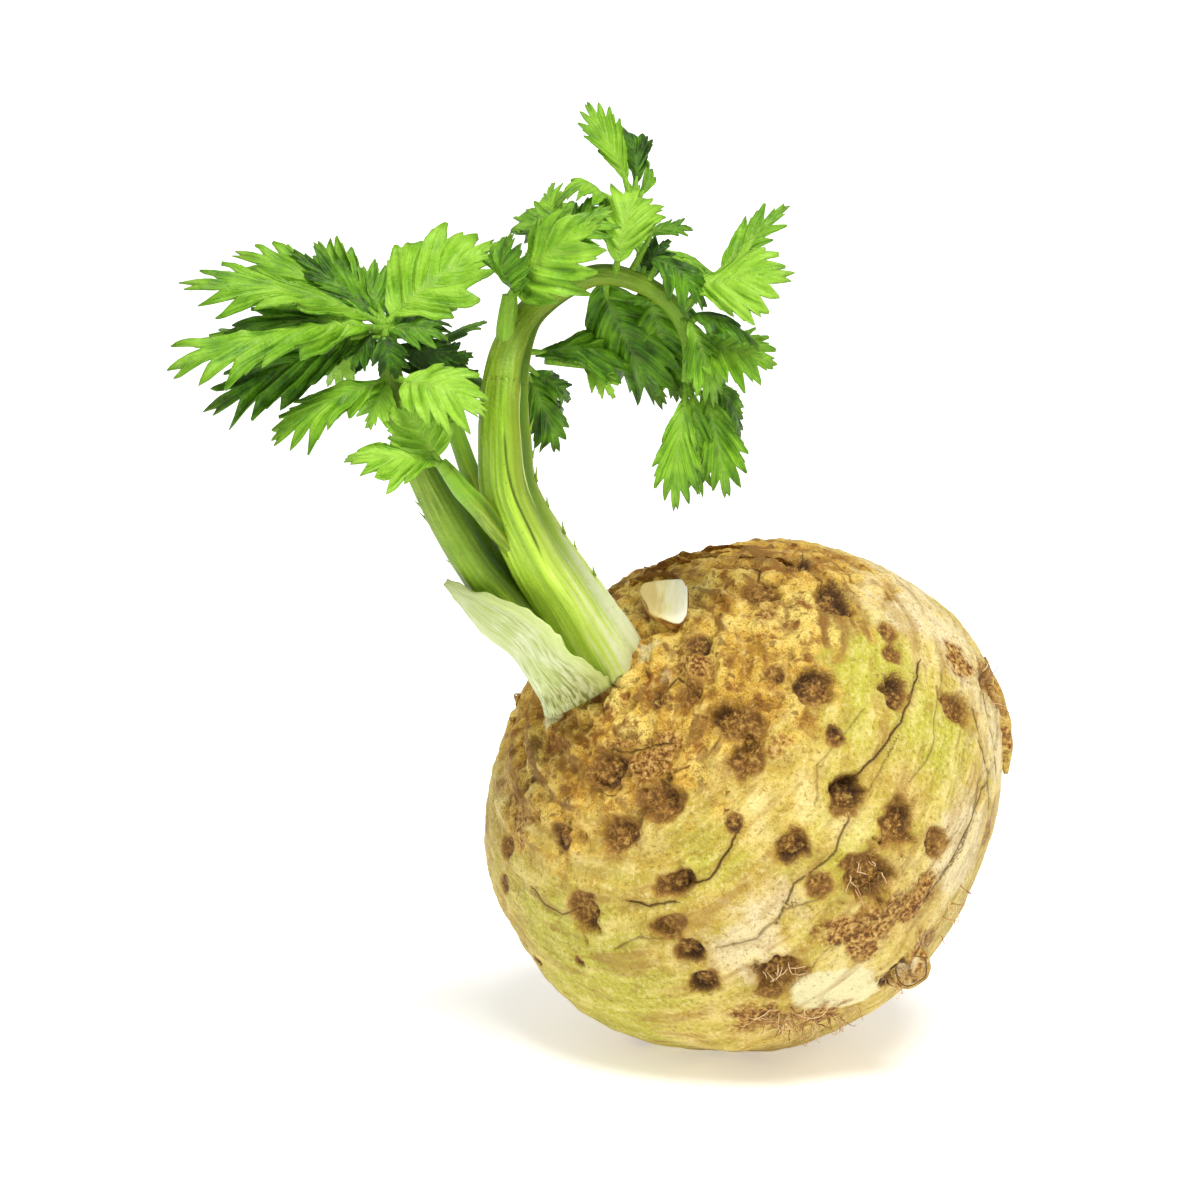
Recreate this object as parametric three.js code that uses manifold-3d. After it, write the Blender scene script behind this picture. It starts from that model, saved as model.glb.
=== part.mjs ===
import * as THREE from "three";
import { mergeVertices } from "three/addons/utils/BufferGeometryUtils.js";
import Module from "manifold-3d";

// A freshly lifted celeriac with its leaves. Millimetres, +Z up; the origin is
// the middle of the flat spot on the underside that it rests on.

const wasm = await Module();
wasm.setup();

// ---- Driving dimensions, mm and degrees ----

const BULB_ACROSS = 61.4; // radius of the swollen root across its growth axis
const BULB_ALONG = 53; // and along it
const BULB_DETAIL = 16; // how finely its skin is divided
const BULB_CENTRE = new THREE.Vector3(4, 3, 58);
const CROWN = new THREE.Vector3(-0.567, -0.567, 0.598).normalize(); // growth axis
const GAP = 0.3; // clear space between one node and the next
const BLADE = 0.8; // thickness of a leaflet
const TWIG = 0.75; // radius of a leaflet's own little stalk
const WAVE = 0.25; // how far a leaflet's halves rise and fall, as a share of their width
const RIB = 0.035; // height of a stalk's ribs, as a share of its radius

// Broad swellings and hollows of the root: polar angle from the crown, azimuth
// round it, spread in degrees, height in mm.
const SWELLINGS = [
  [62, 25, 24, -1.8],
  [97, -38, 18, 2.6],
  [121, -92, 24, -1.8],
  [68, 130, 16, 1.6],
  [50, 92, 18, -1.0],
  [108, -168, 12, -2.2],
  [88, 160, 14, 1.0],
  [128, -176, 15, 1.9],
  [75, 60, 20, 1.4],
  [95, 100, 22, -1.6],
  [118, 40, 20, 1.8],
  [140, -20, 22, -1.6],
  [90, 20, 18, 1.2],
  [112, -141, 9, -2.6],
  [96, -157, 7, 1.6],
];

// Eyes: the corky pits that fine roots grew from. Polar angle, azimuth, size
// along the parallel, size along the meridian, depth.
const EYES = [
  [63, -95, 9, 10, 2.6],
  [67, -66, 9, 6, 2.2],
  [49, -70, 10, 9, 2.0],
  [56, -38, 12, 8, 1.8],
  [35, -90, 8, 12, 2.0],
  [41, -101, 10, 7, 1.8],
  [60, -113, 9, 7, 1.8],
  [76, -94, 11, 10, 2.2],
  [77, -107, 13, 14, 2.4],
  [51, -144, 11, 6, 1.8],
  [54, -176, 9, 10, 2.0],
  [59, -151, 8, 6, 1.6],
  [66, -149, 8, 6, 1.6],
  [74, -150, 8, 6, 1.6],
  [80, -135, 12, 9, 2.4],
  [83, -63, 7, 12, 2.0],
  [97, -50, 7, 13, 2.2],
  [87, -92, 7, 7, 1.4],
  [34, -135, 10, 10, 2.0],
  [22, -162, 11, 10, 2.0],
  [37, -157, 11, 8, 1.6],
  [42, -28, 10, 8, 1.6],
  [55, -20, 8, 7, 1.4],
];

// Leaf scars: rings of folded skin round the crown.
const RING_STEP = 9; // degrees from one ring to the next
const RING_HEIGHT = 0.8;
const RING_END = 58; // they fade out this far from the crown

const SCATTERED_EYES = 90; // tries at eyes round the far side of the root
const VISIBLE_SIDE = new THREE.Vector3(0, -0.985, 0.174); // eyes there are listed

// Roots that were trimmed off: polar angle, azimuth, radius, length.
const ROOT_STUBS = [
  [100, -117, 4.2, 2.2],
  [158, -40, 4.6, 7],
  [172, 130, 5.2, 8],
  [165, -100, 4.4, 7],
  [150, 88, 4.4, 8],
  [138, 20, 4.6, 9],
  [140, 70, 3.6, 6],
  [125, 100, 3.4, 5],
  [148, -10, 3.4, 6],
  [128, 40, 3.8, 7],
];
const STUB_FOOT = { spread: 6, height: 2.4 }; // the swelling each grew from

// A flat side root that hugs the skin: polar angle, azimuth, lift, radius.
const SIDE_ROOT = [
  [99, -40, -3, 3.4],
  [103, -46, -1.8, 3.3],
  [107, -52, -0.4, 3],
  [110, -57, 0.8, 2.7],
  [112.5, -62, 1.6, 2.3],
];

// Dry scales left at the edge of the crown: polar angle and azimuth.
const SCALES = [
  [47, 80], [51, 92], [44, 104], [50, 66], [47, 30], [45, 15],
];

// ---- Helpers ----

const vec = (p) => new THREE.Vector3(p[0], p[1], p[2]);
const rad = THREE.MathUtils.degToRad;

// A repeatable draw from 0 to 1 for item i, k-th draw.
function draw(i, k) {
  const s = Math.sin(i * 12.9898 + k * 78.233) * 43758.5453;
  return s - Math.floor(s);
}

function solid(geometry) {
  const bare = new THREE.BufferGeometry();
  bare.setAttribute("position", geometry.getAttribute("position").clone());
  if (geometry.index) bare.setIndex(geometry.index.clone());
  const welded = mergeVertices(bare, 1e-4);
  return new wasm.Manifold(
    new wasm.Mesh({
      numProp: 3,
      vertProperties: new Float32Array(welded.getAttribute("position").array),
      triVerts: new Uint32Array(welded.index.array),
    }),
  );
}

const fuse = (solids) => solids.reduce((a, b) => a.add(b));

// The triangles of the largest connected body of a solid; cut-off scraps go.
function largestBody(manifold) {
  const mesh = manifold.getMesh();
  const parent = Array.from({ length: mesh.vertProperties.length / mesh.numProp }, (_, i) => i);
  const top = (i) => {
    while (parent[i] !== i) i = parent[i] = parent[parent[i]];
    return i;
  };
  const tris = mesh.triVerts;
  for (let i = 0; i < tris.length; i += 3) {
    parent[top(tris[i])] = top(tris[i + 1]);
    parent[top(tris[i + 1])] = top(tris[i + 2]);
  }
  const sizes = new Map();
  for (let i = 0; i < tris.length; i += 3) {
    const body = top(tris[i]);
    sizes.set(body, (sizes.get(body) ?? 0) + 1);
  }
  const largest = [...sizes.entries()].sort((a, b) => b[1] - a[1])[0][0];
  const kept = [];
  for (let i = 0; i < tris.length; i += 3) {
    if (top(tris[i]) === largest) kept.push(tris[i], tris[i + 1], tris[i + 2]);
  }
  const geometry = new THREE.BufferGeometry();
  const points = new Float32Array(mesh.vertProperties);
  geometry.setAttribute("position", new THREE.BufferAttribute(points, 3));
  geometry.setIndex(kept);
  return geometry.toNonIndexed();
}

// ---- The root ----

const NORTH = new THREE.Vector3(0, 0, 1).addScaledVector(CROWN, -CROWN.z).normalize();
const EAST = new THREE.Vector3().crossVectors(CROWN, NORTH);

// The direction at a polar angle from the crown and an azimuth round it.
function direction(polar, azimuth) {
  const p = rad(polar);
  const a = rad(azimuth);
  return new THREE.Vector3()
    .addScaledVector(NORTH, Math.sin(p) * Math.cos(a))
    .addScaledVector(EAST, Math.sin(p) * Math.sin(a))
    .addScaledVector(CROWN, Math.cos(p));
}

function scatteredEyes() {
  const eyes = [];
  for (let i = 0; i < SCATTERED_EYES; i++) {
    const height = 1 - (2 * (i + 0.5)) / SCATTERED_EYES;
    const polar = THREE.MathUtils.radToDeg(Math.acos(height)) + 8 * (draw(i, 1) - 0.5);
    const azimuth = ((i * 137.508 + 16 * (draw(i, 2) - 0.5) + 180) % 360) - 180;
    if (polar < 34 || direction(polar, azimuth).dot(VISIBLE_SIDE) > -0.08) continue;
    const size = 6 + 6 * draw(i, 3);
    eyes.push([polar, azimuth, size, size * (0.7 + 0.5 * draw(i, 4)), 0.18 * size + 0.3]);
  }
  return eyes;
}

const allEyes = [...EYES, ...scatteredEyes()].map(([polar, azimuth, wide, long, depth]) => {
  const middle = direction(polar, azimuth);
  const across = new THREE.Vector3().crossVectors(CROWN, middle).normalize();
  const along = new THREE.Vector3().crossVectors(middle, across);
  return { middle, across, along, wide, long, depth };
});

const stubFeet = ROOT_STUBS.map(([polar, azimuth]) => [
  polar,
  azimuth,
  STUB_FOOT.spread,
  STUB_FOOT.height,
]);

const swellings = [...SWELLINGS, ...stubFeet].map(([polar, azimuth, spread, height]) => ({
  middle: direction(polar, azimuth),
  spread: rad(spread),
  height,
}));

// Distance from the root's middle to its skin in one direction.
function skin(dir) {
  const up = dir.dot(CROWN);
  const out2 = 1 - up * up;
  let r = 1 / Math.sqrt(out2 / BULB_ACROSS ** 2 + up ** 2 / BULB_ALONG ** 2);
  for (const s of swellings) {
    const angle = Math.acos(THREE.MathUtils.clamp(dir.dot(s.middle), -1, 1));
    r += s.height * Math.exp(-((angle / s.spread) ** 2));
  }
  const polar = THREE.MathUtils.radToDeg(Math.acos(THREE.MathUtils.clamp(up, -1, 1)));
  const azimuth = Math.atan2(dir.dot(EAST), dir.dot(NORTH));
  if (polar < RING_END) {
    const sway = 2.5 * Math.sin(3 * azimuth) + 1.5 * Math.sin(7 * azimuth + 1);
    const fade = Math.min(1, (RING_END - polar) / 20);
    r += RING_HEIGHT * fade * Math.sin((2 * Math.PI * (polar + sway)) / RING_STEP);
  }
  for (const eye of allEyes) {
    if (dir.dot(eye.middle) < 0.9) continue;
    const x = (dir.dot(eye.across) * r * 2) / eye.wide;
    const y = (dir.dot(eye.along) * r * 2) / eye.long;
    const q = Math.sqrt(x * x + y * y);
    r += 0.3 * eye.depth * Math.exp(-(((q - 1.25) / 0.35) ** 2));
    r -= eye.depth * Math.exp(-((q / 0.75) ** 2));
  }
  return r;
}

// A point on the skin, or lifted off it.
function onSkin(polar, azimuth, lift = 0) {
  const dir = direction(polar, azimuth);
  return BULB_CENTRE.clone().addScaledVector(dir, skin(dir) + lift);
}

function bulbBody(grow = 0) {
  const geometry = new THREE.IcosahedronGeometry(1, BULB_DETAIL);
  const points = geometry.getAttribute("position");
  const p = new THREE.Vector3();
  for (let i = 0; i < points.count; i++) {
    p.fromBufferAttribute(points, i).normalize();
    p.multiplyScalar(skin(p) + grow).add(BULB_CENTRE);
    points.setXYZ(i, p.x, p.y, p.z);
  }
  return solid(geometry);
}

// A straight tapered peg from one point to another.
function peg(from, to, r0, r1, sides) {
  const length = from.distanceTo(to);
  const geometry = new THREE.CylinderGeometry(r1, r0, length, sides, 1);
  const axis = new THREE.Vector3().subVectors(to, from).normalize();
  geometry.applyQuaternion(
    new THREE.Quaternion().setFromUnitVectors(new THREE.Vector3(0, 1, 0), axis),
  );
  const middle = new THREE.Vector3().addVectors(from, to).multiplyScalar(0.5);
  geometry.translate(middle.x, middle.y, middle.z);
  return solid(geometry);
}

function rootStub([polar, azimuth, radius, length]) {
  const from = onSkin(polar, azimuth, -3);
  const to = onSkin(polar + 5, azimuth + 3, length);
  return peg(from, to, radius, radius * 0.78, 7);
}

function sideRoot() {
  const pegs = [];
  for (let i = 1; i < SIDE_ROOT.length; i++) {
    const [p0, a0, l0, r0] = SIDE_ROOT[i - 1];
    const [p1, a1, l1, r1] = SIDE_ROOT[i];
    pegs.push(peg(onSkin(p0, a0, l0), onSkin(p1, a1, l1 + 0.01), r0, r1, 6));
  }
  return fuse(pegs);
}

function scale([polar, azimuth], i) {
  const from = onSkin(polar, azimuth, -2);
  const to = onSkin(polar - 3, azimuth + 4 * (draw(i, 5) - 0.5), 2.2 + 1.6 * draw(i, 6));
  return peg(from, to, 2.6, 0.5, 4);
}

function bulb() {
  const ground = new THREE.BoxGeometry(300, 300, 60).translate(0, 0, -30);
  return fuse([bulbBody(), ...ROOT_STUBS.map(rootStub), sideRoot(), ...SCALES.map(scale)])
    .subtract(solid(ground));
}

// ---- Stalks ----

// Paths of the stalks. Each point: x, y, z, width, depth. The groove faces the
// side cross tangent direction; `split` is where the pale stalk ends and the
// green leafy part goes on.
const ARCHED = {
  side: [0.45, 0.9, 0],
  sides: 18,
  groove: 2.6,
  split: 0.44,
  points: [
    [-23, -6, 84.5, 15.5, 17],
    [-27.5, -21, 95.5, 15.5, 17.5],
    [-35, -34, 109, 15, 17],
    [-43, -42, 123, 13.5, 15],
    [-48.5, -46, 136, 12, 13],
    [-49.5, -47, 147, 11, 12],
    [-49.5, -45, 157.5, 9.6, 10.8],
    [-48, -42, 166, 8, 9.5],
    [-44.5, -40, 173, 6, 7],
    [-37.5, -38, 178.5, 5, 6],
    [-28.5, -36, 181.5, 4.6, 5],
    [-20.5, -34, 179.5, 4.2, 4.6],
    [-14, -33, 175, 4, 4],
    [-10, -32, 167, 3.5, 3.5],
    [-10, -32, 158, 3, 3],
  ],
};
const ARCHED_FORK = {
  side: [0.45, 0.9, 0],
  sides: 8,
  groove: 0.4,
  points: [
    [-48.5, -42, 164, 6, 6],
    [-49, -42.5, 171, 5, 5],
    [-48.5, -43, 178, 3.2, 3.2],
  ],
};
const ARCHED_CREST = {
  side: [0.45, 0.9, 0],
  sides: 8,
  groove: 0.3,
  points: [
    [-39, -38, 177.5, 4, 4],
    [-37.5, -38, 187.5, 3.4, 3.4],
    [-29.5, -36.5, 191.5, 3, 3],
    [-22, -35, 196, 2.4, 2.4],
  ],
};
const LEFT = {
  side: [0.5, 0.86, 0],
  sides: 14,
  groove: 1.8,
  split: 0.68,
  points: [
    [-33.5, -22, 87.5, 12, 13],
    [-41.5, -31, 100.5, 11.5, 12],
    [-48.5, -35, 110, 11, 11.5],
    [-54.5, -37, 117.5, 10.5, 11.2],
    [-60.5, -39, 127.5, 9.6, 10.6],
    [-66, -41, 138, 8.4, 9.2],
    [-70, -42, 147, 7, 7.6],
    [-72.5, -42, 154, 5.6, 6],
    [-74, -42, 160.5, 4.8, 5],
    [-74.5, -42, 167, 4, 4],
    [-75, -42, 171.5, 3.4, 3.4],
  ],
};
const INNER = {
  side: [0.6, 0.8, 0],
  sides: 8,
  groove: 0.5,
  split: 0.86,
  points: [
    [-31.5, -26, 97.5, 5, 5.4],
    [-41.5, -30, 109.5, 5, 5.4],
    [-51, -31, 123, 4.6, 5],
    [-57, -31.5, 136.5, 4.2, 4.6],
    [-61, -31, 147.5, 3.8, 4],
    [-65, -30, 156, 3.2, 3.4],
    [-68.5, -30, 162, 2.6, 2.6],
  ],
};
const YOUNG = {
  side: [0.6, 0.8, 0],
  sides: 8,
  groove: 0.5,
  split: 0.86,
  points: [
    [-46.5, -43, 119.5, 3, 3.4],
    [-49, -46, 124.5, 3.8, 4.2],
    [-52, -49.5, 129, 4.4, 4.8],
    [-55, -52.5, 133.5, 4.5, 4.8],
    [-58.5, -54.5, 137.5, 4.2, 4.4],
    [-61, -55, 141, 3.6, 3.6],
    [-63, -55, 143.5, 2.8, 2.8],
  ],
};
// The stump of a leaf stalk that was cut off, on the crown.
const STUMP = {
  side: [1, 0.1, 0],
  sides: 12,
  groove: 1,
  points: [
    [-13, -9, 97, 12.5, 13],
    [-14, -14.5, 102.5, 12, 13],
    [-15, -19.5, 107, 11.5, 12.5],
  ],
};

// The frame and section size of a path at t from 0 to 1.
function station(path, t) {
  path.curve ??= new THREE.CatmullRomCurve3(path.points.map(vec), false, "centripetal");
  const last = path.points.length - 1;
  const clamped = THREE.MathUtils.clamp(t, 0, 1);
  const i = Math.min(Math.floor(clamped * last), last - 1);
  const f = clamped * last - i;
  const size = (k) => THREE.MathUtils.lerp(path.points[i][k], path.points[i + 1][k], f);
  const tangent = path.curve.getTangent(clamped);
  const groove = new THREE.Vector3().crossVectors(vec(path.side), tangent).normalize();
  const side = new THREE.Vector3().crossVectors(tangent, groove);
  return { point: path.curve.getPoint(clamped), tangent, groove, side, wide: size(3), deep: size(4) };
}

// A closed ribbed and grooved limb along a path, between t = from and t = to.
function limb(path, from = 0, to = 1, grow = 0, n = path.sides) {
  const rings = Math.max(3, Math.ceil((to - from) * path.points.length * 1.15));
  const points = [];
  for (let i = 0; i <= rings; i++) {
    const at = station(path, from + ((to - from) * i) / rings);
    if (i === 0) at.point.addScaledVector(at.tangent, -grow);
    if (i === rings) at.point.addScaledVector(at.tangent, grow);
    const shrink = path.groove * (at.deep / path.points[0][4]);
    for (let j = 0; j < n; j++) {
      const a = (2 * Math.PI * j) / n;
      const turned = Math.atan2(Math.sin(a), Math.cos(a));
      let r = 1 / Math.hypot((2 * Math.cos(a)) / at.deep, (2 * Math.sin(a)) / at.wide);
      r *= 1 + (n > 8 ? RIB * (j % 2 ? 1 : -1) : 0);
      r += grow - shrink * Math.exp(-((turned / 0.4) ** 2));
      const p = at.point
        .clone()
        .addScaledVector(at.groove, r * Math.cos(a))
        .addScaledVector(at.side, r * Math.sin(a));
      points.push(p.x, p.y, p.z);
    }
  }
  const first = station(path, from).point.addScaledVector(station(path, from).tangent, -grow);
  const last = station(path, to).point.addScaledVector(station(path, to).tangent, grow);
  const a = points.length / 3;
  points.push(first.x, first.y, first.z, last.x, last.y, last.z);
  const faces = [];
  for (let i = 0; i < rings; i++) {
    for (let j = 0; j < n; j++) {
      const k = (j + 1) % n;
      const p = i * n;
      faces.push(p + j, p + k, p + n + k, p + j, p + n + k, p + n + j);
    }
  }
  for (let j = 0; j < n; j++) {
    const k = (j + 1) % n;
    faces.push(a, k, j, a + 1, rings * n + j, rings * n + k);
  }
  const geometry = new THREE.BufferGeometry();
  geometry.setAttribute("position", new THREE.Float32BufferAttribute(points, 3));
  geometry.setIndex(faces);
  return solid(geometry);
}

// ---- Leaflets ----

// Half outlines of a leaflet: half-width, place along its length, and the place
// on the midrib that the vein to that point starts from.
const FINGERED = [
  [0.04, 0, 0],
  [0.28, 0.22, 0.06],
  [0.6, 0.62, 0.18],
  [0.45, 0.6, 0.25],
  [0.52, 0.83, 0.34],
  [0.29, 0.74, 0.45],
  [0.3, 0.94, 0.6],
  [0.1, 0.84, 0.75],
  [0, 1, 1],
];
const BROAD = [
  [0.04, 0, 0],
  [0.42, 0.18, 0.05],
  [0.62, 0.48, 0.16],
  [0.52, 0.5, 0.25],
  [0.56, 0.74, 0.38],
  [0.4, 0.7, 0.5],
  [0.33, 0.91, 0.66],
  [0.15, 0.84, 0.78],
  [0, 1, 1],
];
const TOOTHED = [
  [0.05, 0, 0],
  [0.26, 0.22, 0.07],
  [0.48, 0.6, 0.22],
  [0.32, 0.57, 0.34],
  [0.36, 0.84, 0.5],
  [0.13, 0.74, 0.66],
  [0, 1, 1],
];

// One leaflet with its little stalk. The blade lies square to `face`, arches
// towards it along its length and folds along its midrib.
function leaflet(leaf, i) {
  const base = vec(leaf.base);
  const run = new THREE.Vector3().subVectors(vec(leaf.tip), base);
  const length = run.length();
  const ahead = run.clone().normalize();
  const face = vec(leaf.face).normalize();
  face.addScaledVector(ahead, -face.dot(ahead)).normalize();
  const side = new THREE.Vector3().crossVectors(ahead, face);
  const slope = Math.tan(rad(leaf.fold));
  const place = (along, across, lift) => {
    const arch = leaf.arch * 4 * along * (1 - along);
    const wave = WAVE * across * Math.sin(6 * along + 6 * draw(i, 7));
    const rise = arch + Math.abs(across) * slope + wave + lift;
    return base
      .clone()
      .addScaledVector(ahead, along * length)
      .addScaledVector(side, across)
      .addScaledVector(face, rise);
  };
  const points = [];
  const last = leaf.cut.length - 1;
  for (const lift of [BLADE / 2, -BLADE / 2]) {
    for (const [, , rib] of leaf.cut) points.push(place(rib, 0, lift));
    for (const turn of [1, -1]) {
      const stretch = turn * leaf.width * (0.94 + 0.16 * draw(i, 8 + turn));
      for (let k = 0; k < last; k++) {
        const [half, along] = leaf.cut[k];
        points.push(place(along, half * stretch, lift));
      }
    }
  }
  const layer = leaf.cut.length + 2 * last;
  const rim = (turn, k) => (k === last ? last : last + 1 + turn * last + k);
  const faces = [];
  for (const turn of [0, 1]) {
    for (let k = 0; k < last; k++) {
      const quad = [k, k + 1, rim(turn, k + 1), rim(turn, k)];
      const tris = [[quad[0], quad[2], quad[1]], [quad[0], quad[3], quad[2]]];
      for (const tri of tris) {
        if (new Set(tri).size < 3) continue;
        const [a, b, c] = turn ? [tri[0], tri[2], tri[1]] : tri;
        faces.push(a, b, c, layer + a, layer + c, layer + b);
      }
      const [p, q] = turn ? [rim(1, k + 1), rim(1, k)] : [rim(0, k), rim(0, k + 1)];
      faces.push(p, layer + p, layer + q, p, layer + q, q);
    }
    const [p, q] = turn ? [rim(1, 0), 0] : [0, rim(0, 0)];
    faces.push(p, layer + p, layer + q, p, layer + q, q);
  }
  const geometry = new THREE.BufferGeometry();
  geometry.setAttribute(
    "position",
    new THREE.Float32BufferAttribute(points.flatMap((p) => [p.x, p.y, p.z]), 3),
  );
  geometry.setIndex(faces);
  const blade = solid(geometry);
  return blade.add(peg(vec(leaf.root), place(0.1, 0, 0), TWIG * 1.3, BLADE * 0.35, 3));
}

const ARCHED_LEAFLETS = [
  // crest front
  { root: [-48.5, -43, 177.5], base: [-47, -45, 178.5], tip: [-29.5, -55, 194.5],
    face: [-0.3, -0.75, 0.5], width: 13.5, arch: 3, fold: -10, cut: BROAD },
  // crest left
  { root: [-48.5, -43, 177.5], base: [-47, -46, 178.5], tip: [-48.5, -49, 191],
    face: [-0.7, -0.7, 0.2], width: 10, arch: 3, fold: -14, cut: BROAD },
  // crest middle
  { root: [-37.5, -38, 187.5], base: [-35, -41, 187.5], tip: [-27.5, -44, 196.5],
    face: [-0.1, -0.7, 0.7], width: 11, arch: 3, fold: -12, cut: BROAD },
  // crest spur
  { root: [-37.5, -38, 187.5], base: [-38.5, -37, 192], tip: [-39.5, -32, 201.5],
    face: [-0.5, -0.8, 0.3], width: 7, arch: 2, fold: 14, cut: TOOTHED },
  // crest hood
  { root: [-29, -36, 191], base: [-27.5, -36, 196], tip: [-38.5, -43, 197.5],
    face: [0, -0.3, 0.95], width: 10, arch: 5, fold: -18, cut: TOOTHED },
  // crest top
  { root: [-22, -35, 196], base: [-23.5, -35, 202], tip: [-32, -32, 218],
    face: [0.2, -0.95, 0.1], width: 7, arch: 1.5, fold: 12, cut: FINGERED },
  // crest top back
  { root: [-22, -35, 196], base: [-21.5, -33, 201], tip: [-24.5, -27, 213],
    face: [0.5, -0.8, 0.2], width: 8, arch: 2, fold: 14, cut: FINGERED },
  // crest needle
  { root: [-22, -35, 196], base: [-20.5, -33, 198.5], tip: [-19.5, -28, 205.5],
    face: [0.7, -0.7, 0.2], width: 4, arch: 1.5, fold: 20, cut: TOOTHED },
  // arch bright
  { root: [-26, -36, 181.5], base: [-25.5, -42, 185], tip: [-22, -34, 200.5],
    face: [0, -0.9, 0.35], width: 13, arch: 2.5, fold: -8, cut: FINGERED },
  // arch spike
  { root: [-23, -35, 181], base: [-19, -33, 190], tip: [-9, -28, 191],
    face: [0.2, -0.7, 0.7], width: 4, arch: 1, fold: 12, cut: TOOTHED },
  // arch roof
  { root: [-19.5, -34, 178.5], base: [-18, -35, 185], tip: [-6.5, -38, 175],
    face: [0.2, -0.7, 0.7], width: 10, arch: 3, fold: -14, cut: TOOTHED },
  // ear
  { root: [-12, -33, 172.5], base: [-2.5, -27, 182.5], tip: [11.5, -20, 196],
    face: [-0.2, -0.8, 0.5], width: 7.5, arch: -0.5, fold: 14, cut: TOOTHED },
  // right broad
  { root: [-12.5, -33, 172.5], base: [-9, -35, 178.5], tip: [10.5, -44, 182],
    face: [0.1, -0.75, 0.65], width: 14, arch: 1.5, fold: -12, cut: FINGERED },
  // right sliver
  { root: [-11, -33, 170], base: [-9, -36, 173], tip: [5, -42, 166.5],
    face: [0.4, -0.5, 0.75], width: 7, arch: 2, fold: -14, cut: TOOTHED },
  // right lower
  { root: [-9.5, -32, 166], base: [-7.5, -33, 166], tip: [8.5, -38, 162],
    face: [0.35, -0.75, 0.55], width: 12, arch: 2, fold: -12, cut: BROAD },
  // hang left
  { root: [-10, -32, 158], base: [-10.5, -34, 155], tip: [-13, -40, 131.5],
    face: [-0.25, -0.95, 0.2], width: 8, arch: 3, fold: -12, cut: FINGERED },
  // hang centre
  { root: [-10, -32, 158], base: [-9, -35, 155.5], tip: [-7.5, -34, 134],
    face: [0, -0.97, 0.2], width: 7.5, arch: 3, fold: -12, cut: FINGERED },
  // hang middle
  { root: [-10, -32, 158], base: [-6.5, -33, 156.5], tip: [-1.5, -35, 133.5],
    face: [0.1, -0.97, 0.15], width: 9.5, arch: 2.5, fold: -12, cut: FINGERED },
  // hang right
  { root: [-9.5, -32, 160.5], base: [-4.5, -30, 158], tip: [1.5, -26, 144.5],
    face: [0.6, -0.75, 0.2], width: 8, arch: 2, fold: -14, cut: FINGERED },
  // under arch
  { root: [-28, -36, 181.5], base: [-29, -30, 179], tip: [-15, -21, 151.5],
    face: [-0.1, -0.9, -0.3], width: 13, arch: 3, fold: -10, cut: BROAD },
  // under right
  { root: [-15.5, -33, 175.5], base: [-19, -29, 178], tip: [-11.5, -22, 152.5],
    face: [0.1, -0.95, -0.2], width: 15, arch: 3, fold: -12, cut: BROAD },
  // under left
  { root: [-47.5, -40, 165.5], base: [-43, -35, 164], tip: [-23, -27, 162],
    face: [0, -0.6, 0.8], width: 12, arch: 3, fold: -14, cut: FINGERED },
  // under curl
  { root: [-41, -35, 163], base: [-32.5, -31, 161.5], tip: [-26, -33, 154.5],
    face: [0.1, -0.8, 0.5], width: 6, arch: 2, fold: -14, cut: TOOTHED },
  // back hang
  { root: [-47.5, -40, 164.5], base: [-45, -34, 160], tip: [-38.5, -29, 142.5],
    face: [0.25, -0.9, 0.3], width: 9, arch: 2, fold: -12, cut: FINGERED },
  // back spur
  { root: [-47.5, -40, 164.5], base: [-44, -33, 160], tip: [-35.5, -27, 153],
    face: [0, -0.8, 0.5], width: 7, arch: 2, fold: -12, cut: TOOTHED },
  // rear crest
  { root: [-37.5, -38, 187.5], base: [-38.5, -33, 187.5], tip: [-41, -6, 192.5],
    face: [-0.2, 0.4, 0.9], width: 13, arch: 4, fold: -14, cut: FINGERED },
  // rear arch
  { root: [-19, -34, 180], base: [-18, -29, 180.5], tip: [-10.5, -4, 181.5],
    face: [0.1, 0.5, 0.85], width: 16, arch: 4, fold: -14, cut: FINGERED },
];
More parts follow.
